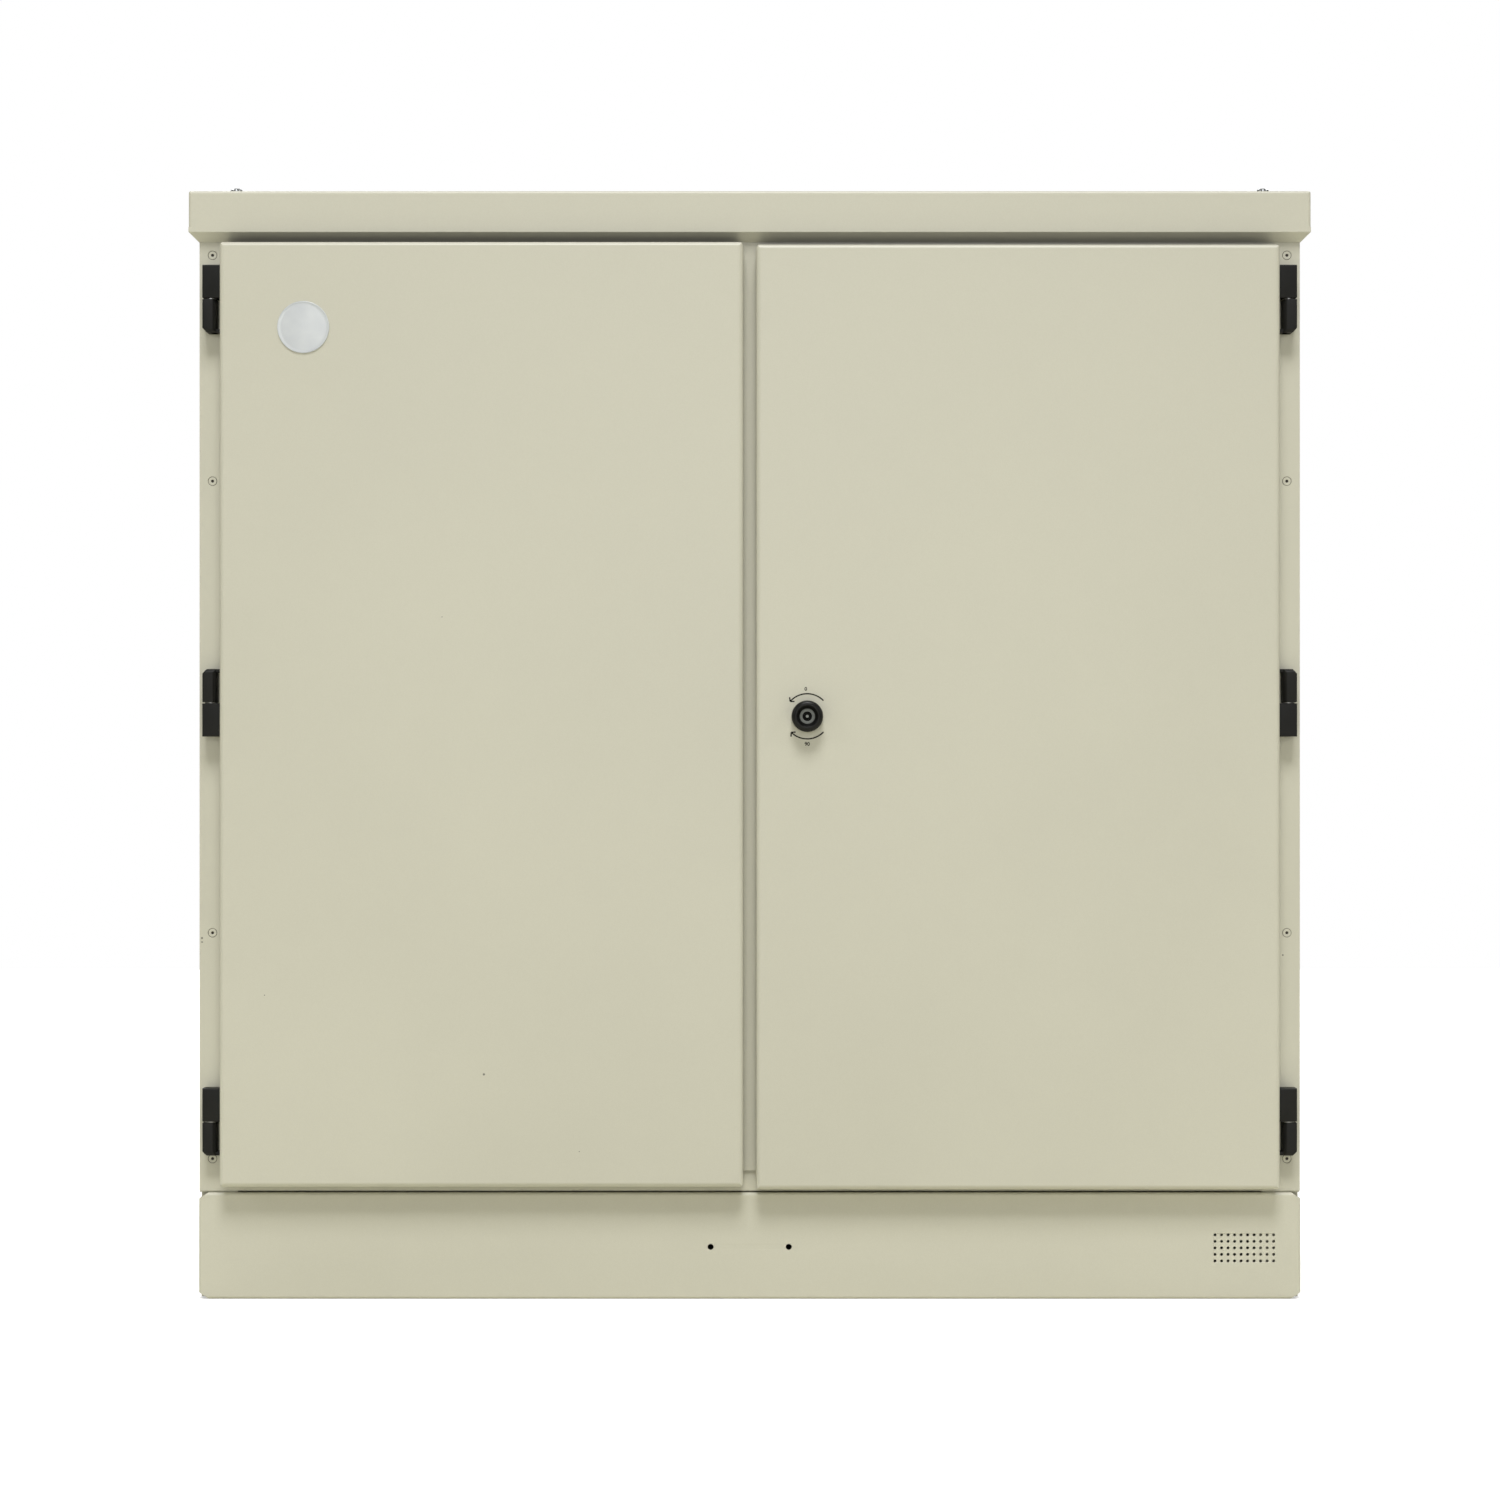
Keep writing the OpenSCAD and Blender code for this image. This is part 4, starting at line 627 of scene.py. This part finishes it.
def door_knuckle(side, level):
    """The half screwed to the door's edge: a square block with a flat front that runs on to the door."""
    node = "door_knuckle_%s_%s" % (side, level)
    low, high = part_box(node)
    axis, towards_frame = hinge_place(side, level)
    towards = -towards_frame
    meeting, tall = half_height(low, high, towards)
    half = DOOR_KNUCKLE_HALF
    door_edge = (axis.x - low.x if side == "right" else high.x - axis.x) / MM
    outline = [(-door_edge, 0), (half, 0), (half, tall), (-door_edge, tall)]
    corners = knuckle_face(axis, side, outline, meeting, towards, half)
    shape = extruded(corners, (0, 2 * half * MM, 0))
    front, back = corners[0][1], corners[0][1] + 2 * half * MM
    outer = axis.x + SIDES[side] * half * MM
    far = meeting + towards * tall * MM
    door_face = axis.x - SIDES[side] * door_edge * MM
    round_edges(shape, lambda p: p.y > back - NEAR and abs(p.x - outer) < NEAR, DOOR_KNUCKLE_BACK_ROUND, 5)
    round_edges(shape, lambda p: p.y < front + NEAR and (abs(p.x - outer) < NEAR or abs(p.z - far) < NEAR),
                DOOR_KNUCKLE_FRONT_ROUND, 3)
    round_edges(shape, lambda p: abs(p.x - door_face) > NEAR, DOOR_KNUCKLE_EASING, 2)
    piece(node + "_moulded", shape, black_plastic, body_of(node), (node,), 30)


for side in SIDES:
    for level in HINGES:
        frame_knuckle(side, level)
        door_knuckle(side, level)


# ---------------------------------------------------------------- screws down the posts

POST_SCREWS_A_SIDE = 5
SCREW_HEAD = 4.95
SCREW_SHANK = 2.4
SCREW_SEAT = 1.3
SCREW_PROUD = 0.06
SCREW_GROOVE = 0.35
SCREW_DRIVE = 1.5
SCREW_DRIVE_DEPTH = 1.7


def post_screws():
    """Countersunk screws with a small round drive and a groove round it, coated with the housing."""
    low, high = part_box("frame_screws")
    head = SCREW_HEAD
    length = (high.y - low.y) / MM
    thread = [(0, -length), (SCREW_SHANK, -length), (SCREW_SHANK, -SCREW_SEAT)]
    rim = [(head, -0.3), (head - 0.25, -0.02)]
    groove = [(head - 0.35, -SCREW_GROOVE), (head - 0.75, -SCREW_GROOVE)]
    face = [(head - 1.0, SCREW_PROUD), (SCREW_DRIVE + 0.25, SCREW_PROUD)]
    socket = [(SCREW_DRIVE, -0.1), (SCREW_DRIVE, -SCREW_DRIVE_DEPTH), (0, -SCREW_DRIVE_DEPTH)]
    outline = millimetres(thread + rim + groove + face + socket)
    lowest, highest = low.z + head * MM, high.z - head * MM
    shapes = []
    for x in (low.x + head * MM, high.x - head * MM):
        for step in range(POST_SCREWS_A_SIDE):
            z = lowest + (highest - lowest) * step / (POST_SCREWS_A_SIDE - 1)
            shapes.append(moved(lathe(outline, 36), Matrix.Translation((x, low.y, z)) @ FACING_FRONT))
    piece("post_screws", merged(shapes), screw_coat, body_of("frame_screws"), ("frame_screws",), 30)


post_screws()


# ---------------------------------------------------------------- lock

LOCK_RING = 15.6
LOCK_RING_ROUND = 4.2
LOCK_MOUTH_ROUND = 0.8
LOCK_LIP = 7.6
LOCK_LIP_TALL = 0.95
LOCK_WALL = 2.1
BARREL_CLEARANCE = 0.25
PRINT_THICKNESS = 0.12
PRINT_WIDTH = 1.3
PRINT_RADIUS = 22.4
BARB = 4.3
BARB_SPREAD = 48
NUMERAL_HEIGHT = 3.6
NUMERAL_WEIGHT = 0.11
NUMERAL_TO_FONT_SIZE = 0.7
# Each arrow's start and end in degrees round the lock, and its numeral's middle.
UPPER_ARROW = (44, 139)
UPPER_NUMERAL = (-1.4, 27.0)
LOWER_ARROW = (-44, -135)
LOWER_NUMERAL = (0, -27.6)


def lock_centre():
    """The middle of the lock, on the door's face."""
    low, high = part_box("lock_bezel")
    return Vector(((low.x + high.x) / 2, high.y, (low.z + high.z) / 2))


def lock_ring():
    """The moulded ring round the lock: a rounded rim, and a funnel that narrows to the barrel."""
    centre = lock_centre()
    flange = (centre.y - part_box("lock_body")[0].y) / MM
    tall = (centre.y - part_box("lock_bezel")[0].y) / MM
    bore = LOCK_LIP + LOCK_WALL
    shoulder = LOCK_RING - LOCK_RING_ROUND
    rim = arc((shoulder, tall - LOCK_RING_ROUND), LOCK_RING_ROUND, 0, 90, 8)
    mouth = arc((shoulder - 0.2, tall - LOCK_MOUTH_ROUND), LOCK_MOUTH_ROUND, 90, 140, 3)
    lip_low = flange + BARREL_CLEARANCE
    lip_high = lip_low + LOCK_LIP_TALL
    lip = [(LOCK_LIP + 0.3, lip_high + 0.4), (LOCK_LIP, lip_high), (LOCK_LIP, lip_low), (bore, lip_low)]
    outline = [(bore, 0), (LOCK_RING, 0)] + rim + mouth + lip
    shape = lathe(millimetres(outline), 96)
    moved(shape, Matrix.Translation(centre) @ FACING_FRONT)
    piece("lock_ring", shape, bezel_plastic, body_of("lock_bezel"), ("lock_bezel",), 28)


def printed_stroke(start, end):
    """A straight printed stroke between two points on the door, in millimetres from the lock."""
    start, end = Vector(start), Vector(end)
    across = (end - start).normalized().orthogonal() * PRINT_WIDTH / 2
    corners = [start + across, end + across, end - across, start - across]
    return extruded([(p.x * MM, p.y * MM, 0) for p in corners], (0, 0, PRINT_THICKNESS * MM))


def printed_arc(start, end):
    """A printed stroke along an arc about the lock, in degrees."""
    inner, outer = PRINT_RADIUS - PRINT_WIDTH / 2, PRINT_RADIUS + PRINT_WIDTH / 2
    shape = bmesh.new()
    section = [shape.verts.new((r * MM, 0, z * MM)) for r, z in
               ((inner, 0), (outer, 0), (outer, PRINT_THICKNESS), (inner, PRINT_THICKNESS))]
    edges = [shape.edges.new(pair) for pair in zip(section, section[1:] + section[:1])]
    bmesh.ops.spin(shape, geom=section + edges, cent=(0, 0, 0), axis=(0, 0, 1),
                   angle=math.radians(end - start), steps=40, use_duplicate=False)
    bmesh.ops.holes_fill(shape, edges=[e for e in shape.edges if e.is_boundary], sides=4)
    return moved(shape, Matrix.Rotation(math.radians(start), 4, "Z"))


def printed_numeral(text, centre):
    """A plain numeral, flat on the door, at a place in millimetres from the lock."""
    curve = bpy.data.curves.new("numeral", "FONT")
    curve.body = text
    curve.size = NUMERAL_HEIGHT * MM / NUMERAL_TO_FONT_SIZE
    curve.align_x = "CENTER"
    curve.align_y = "CENTER"
    curve.extrude = PRINT_THICKNESS * MM / 2
    curve.offset = NUMERAL_WEIGHT * MM
    holder = bpy.data.objects.new("numeral", curve)
    bpy.context.scene.collection.objects.link(holder)
    bpy.context.view_layer.update()
    mesh = bpy.data.meshes.new_from_object(holder)
    bpy.data.objects.remove(holder)
    bpy.data.curves.remove(curve)
    shape = bmesh.new()
    shape.from_mesh(mesh)
    bpy.data.meshes.remove(mesh)
    bmesh.ops.remove_doubles(shape, verts=shape.verts, dist=FINE_WELD)
    return moved(shape, Matrix.Translation((centre[0] * MM, centre[1] * MM, PRINT_THICKNESS * MM / 2)))


def arrow(start, end):
    """An arc that ends in an open arrowhead."""
    turn = math.copysign(90, end - start)
    tip = arc((0, 0), PRINT_RADIUS, end, end, 1)[0]
    shapes = [printed_arc(start, end)]
    for spread in (-BARB_SPREAD, BARB_SPREAD):
        back = math.radians(end - turn + spread)
        shapes.append(printed_stroke(tip, (tip[0] + BARB * math.cos(back), tip[1] + BARB * math.sin(back))))
    return shapes


def lock_print():
    """Turning marks: an arrow over the lock and one under it, with the turn in degrees."""
    shapes = arrow(*UPPER_ARROW) + arrow(*LOWER_ARROW)
    shapes += [printed_numeral("0", UPPER_NUMERAL), printed_numeral("90", LOWER_NUMERAL)]
    shape = moved(merged(shapes), Matrix.Translation(lock_centre()) @ FACING_FRONT)
    piece("lock_print", shape, print_ink, body_of("right_door"), (), 30)


lock_ring()
lock_print()


# ---------------------------------------------------------------- badge

BADGE_RIM_ROUND = 0.6
BADGE_RIM_LOW = 0.7
BADGE_DOME_LOW = 1.0
BADGE_DOME_RISE = 0.7
BADGE_DOME_STEPS = 10


def badge():
    """A round badge: a pale face under a clear dome, with a rolled rim."""
    low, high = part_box("badge_disc")
    radius = (high.x - low.x) / 2 / MM
    rim = arc((radius - BADGE_RIM_ROUND, BADGE_RIM_LOW), BADGE_RIM_ROUND, 0, 90, 5)
    edge = radius - 2 * BADGE_RIM_ROUND
    dome = []
    for step in range(BADGE_DOME_STEPS + 1):
        inwards = step / BADGE_DOME_STEPS
        dome.append((edge * (1 - inwards), BADGE_DOME_LOW + BADGE_DOME_RISE * math.sin(PI / 2 * inwards)))
    outline = [(0, 0), (radius, 0)] + rim + dome
    shape = lathe(millimetres(outline), 96)
    moved(shape, Matrix.Translation(((low.x + high.x) / 2, high.y, (low.z + high.z) / 2)) @ FACING_FRONT)
    piece("badge", shape, badge_face, body_of("badge_disc"), ("badge_disc",), 40)


badge()


# ---------------------------------------------------------------- floor, light and camera

# Lengths of the floor, the lights and the camera are in metres.
WORLD_LIGHT = 0.09
WORLD_LIGHT_COLOUR = (1.0, 0.95, 0.80, 1)
WHITE = (1, 1, 1, 1)
FLOOR_HALF_SIZE = 4.5
FLOOR_LIGHTING_COLOUR = (0.745, 0.73, 0.605, 1)
FLOOR_SEEN_COLOUR = (0.86, 0.86, 0.86, 1)
FLOOR_SEEN_GLOW = 0.36
FLAG_COLOUR = (0.01, 0.01, 0.01, 1)
FLAG_INSET = 4.5
FLAG_GAP = 0.8
FLAG_THICKNESS = 0.2


def stage_floor():
    """A pale floor: nearly white where it is seen, and warm in the light that it throws on the cabinet."""
    floor = bmesh.new()
    bmesh.ops.create_grid(floor, x_segments=1, y_segments=1, size=FLOOR_HALF_SIZE)
    mesh = bpy.data.meshes.new("floor")
    floor.to_mesh(mesh)
    floor.free()
    made = bpy.data.objects.new("floor", mesh)
    bpy.context.scene.collection.objects.link(made)
    material, tree, shader = finish_base("studio_floor", roughness=0.9)
    shader.inputs["Base Color"].default_value = FLOOR_LIGHTING_COLOUR
    shader.inputs["Specular IOR Level"].default_value = 0.0
    seen = tree.nodes.new("ShaderNodeBsdfPrincipled")
    seen.inputs["Base Color"].default_value = FLOOR_SEEN_COLOUR
    seen.inputs["Specular IOR Level"].default_value = 0.0
    seen.inputs["Roughness"].default_value = 1.0
    seen.inputs["Emission Color"].default_value = WHITE
    seen.inputs["Emission Strength"].default_value = FLOOR_SEEN_GLOW
    split_by_ray(tree, shader.outputs["BSDF"], seen.outputs["BSDF"], "OUTPUT_MATERIAL")
    mesh.materials.append(material)


def door_top_flags():
    """Unseen black cards over the closed doors. They keep the doors' upper edges from throwing the key
    light up into the slot under the roof, and so leave those edges dark from above."""
    material, _, shader = finish_base("studio_flag", roughness=1.0)
    shader.inputs["Base Color"].default_value = FLAG_COLOUR
    shader.inputs["Specular IOR Level"].default_value = 0.0
    for door in ("left_door", "right_door"):
        low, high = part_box(door)
        inset = FLAG_INSET * MM
        corners = [(low.x + inset, low.y + inset), (high.x - inset, low.y + inset),
                   (high.x - inset, high.y), (low.x + inset, high.y)]
        card = extruded([(x, y, high.z + FLAG_GAP * MM) for x, y in corners], (0, 0, FLAG_THICKNESS * MM))
        mesh = bpy.data.meshes.new("flag_over_" + door)
        card.to_mesh(mesh)
        card.free()
        mesh.materials.append(material)
        made = bpy.data.objects.new("flag_over_" + door, mesh)
        bpy.context.scene.collection.objects.link(made)
        made.visible_camera = False


def split_by_ray(tree, lighting, seen, output_type):
    """One look for the light that the cabinet gets, and another for what is seen beside it."""
    ray = tree.nodes.new("ShaderNodeLightPath")
    choose = tree.nodes.new("ShaderNodeMixShader")
    output = [n for n in tree.nodes if n.type == output_type][0]
    tree.links.new(ray.outputs["Is Camera Ray"], choose.inputs["Fac"])
    tree.links.new(lighting, choose.inputs[1])
    tree.links.new(seen, choose.inputs[2])
    tree.links.new(choose.outputs["Shader"], output.inputs["Surface"])


def studio_world():
    """A white backdrop that throws only a little warm light."""
    world = bpy.data.worlds.new("studio")
    world.use_nodes = True
    tree = world.node_tree
    tree.nodes.clear()
    tree.nodes.new("ShaderNodeOutputWorld")
    lighting = tree.nodes.new("ShaderNodeBackground")
    lighting.inputs["Color"].default_value = WORLD_LIGHT_COLOUR
    lighting.inputs["Strength"].default_value = WORLD_LIGHT
    seen = tree.nodes.new("ShaderNodeBackground")
    seen.inputs["Color"].default_value = WHITE
    seen.inputs["Strength"].default_value = 1.0
    split_by_ray(tree, lighting.outputs["Background"], seen.outputs["Background"], "OUTPUT_WORLD")
    bpy.context.scene.world = world


# Name, degrees up, degrees round from the front, then metres away, wide and tall, and watts.
SOFTBOXES = (
    ("key_softbox", 60, 0, 12.0, 4.6, 3.6, 1010),
    ("front_softbox", 9, 0, 9.0, 3.6, 2.6, 92),
    ("left_softbox", 25, -62, 9.0, 2.6, 3.4, 80),
    ("right_softbox", 25, 62, 9.0, 2.6, 3.4, 80),
    ("rear_left_softbox", 42, 215, 8.0, 4.0, 3.0, 260),
    ("rear_right_softbox", 42, 140, 8.0, 4.0, 3.0, 260),
)
CAMERA_SENSOR = 36
CAMERA_LENS = 76.82
CAMERA_PLACE = (0.0003, -3.36, 0.5540)


def softbox(name, elevation, azimuth, distance, width, height, power):
    """A rectangular light that looks at the middle of the cabinet."""
    light = bpy.data.lights.new(name, "AREA")
    light.shape = "RECTANGLE"
    light.size = width
    light.size_y = height
    light.energy = power
    made = bpy.data.objects.new(name, light)
    bpy.context.scene.collection.objects.link(made)
    low, high = cad_box
    middle = (low + high) / 2
    a, e = math.radians(azimuth), math.radians(elevation)
    away = Vector((math.sin(a) * math.cos(e), -math.cos(a) * math.cos(e), math.sin(e)))
    made.location = middle + away * distance
    made.rotation_euler = (-away).to_track_quat("-Z", "Y").to_euler()


def front_camera():
    """A level camera, square on to the doors."""
    lens = bpy.data.cameras.new("camera")
    lens.sensor_width = CAMERA_SENSOR
    lens.lens = CAMERA_LENS
    camera = bpy.data.objects.new("camera", lens)
    bpy.context.scene.collection.objects.link(camera)
    camera.location = CAMERA_PLACE
    camera.rotation_euler = (math.radians(90), 0, 0)
    bpy.context.scene.camera = camera


stage_floor()
door_top_flags()
studio_world()
for settings in SOFTBOXES:
    softbox(*settings)
front_camera()
bpy.context.scene.view_settings.view_transform = "Standard"
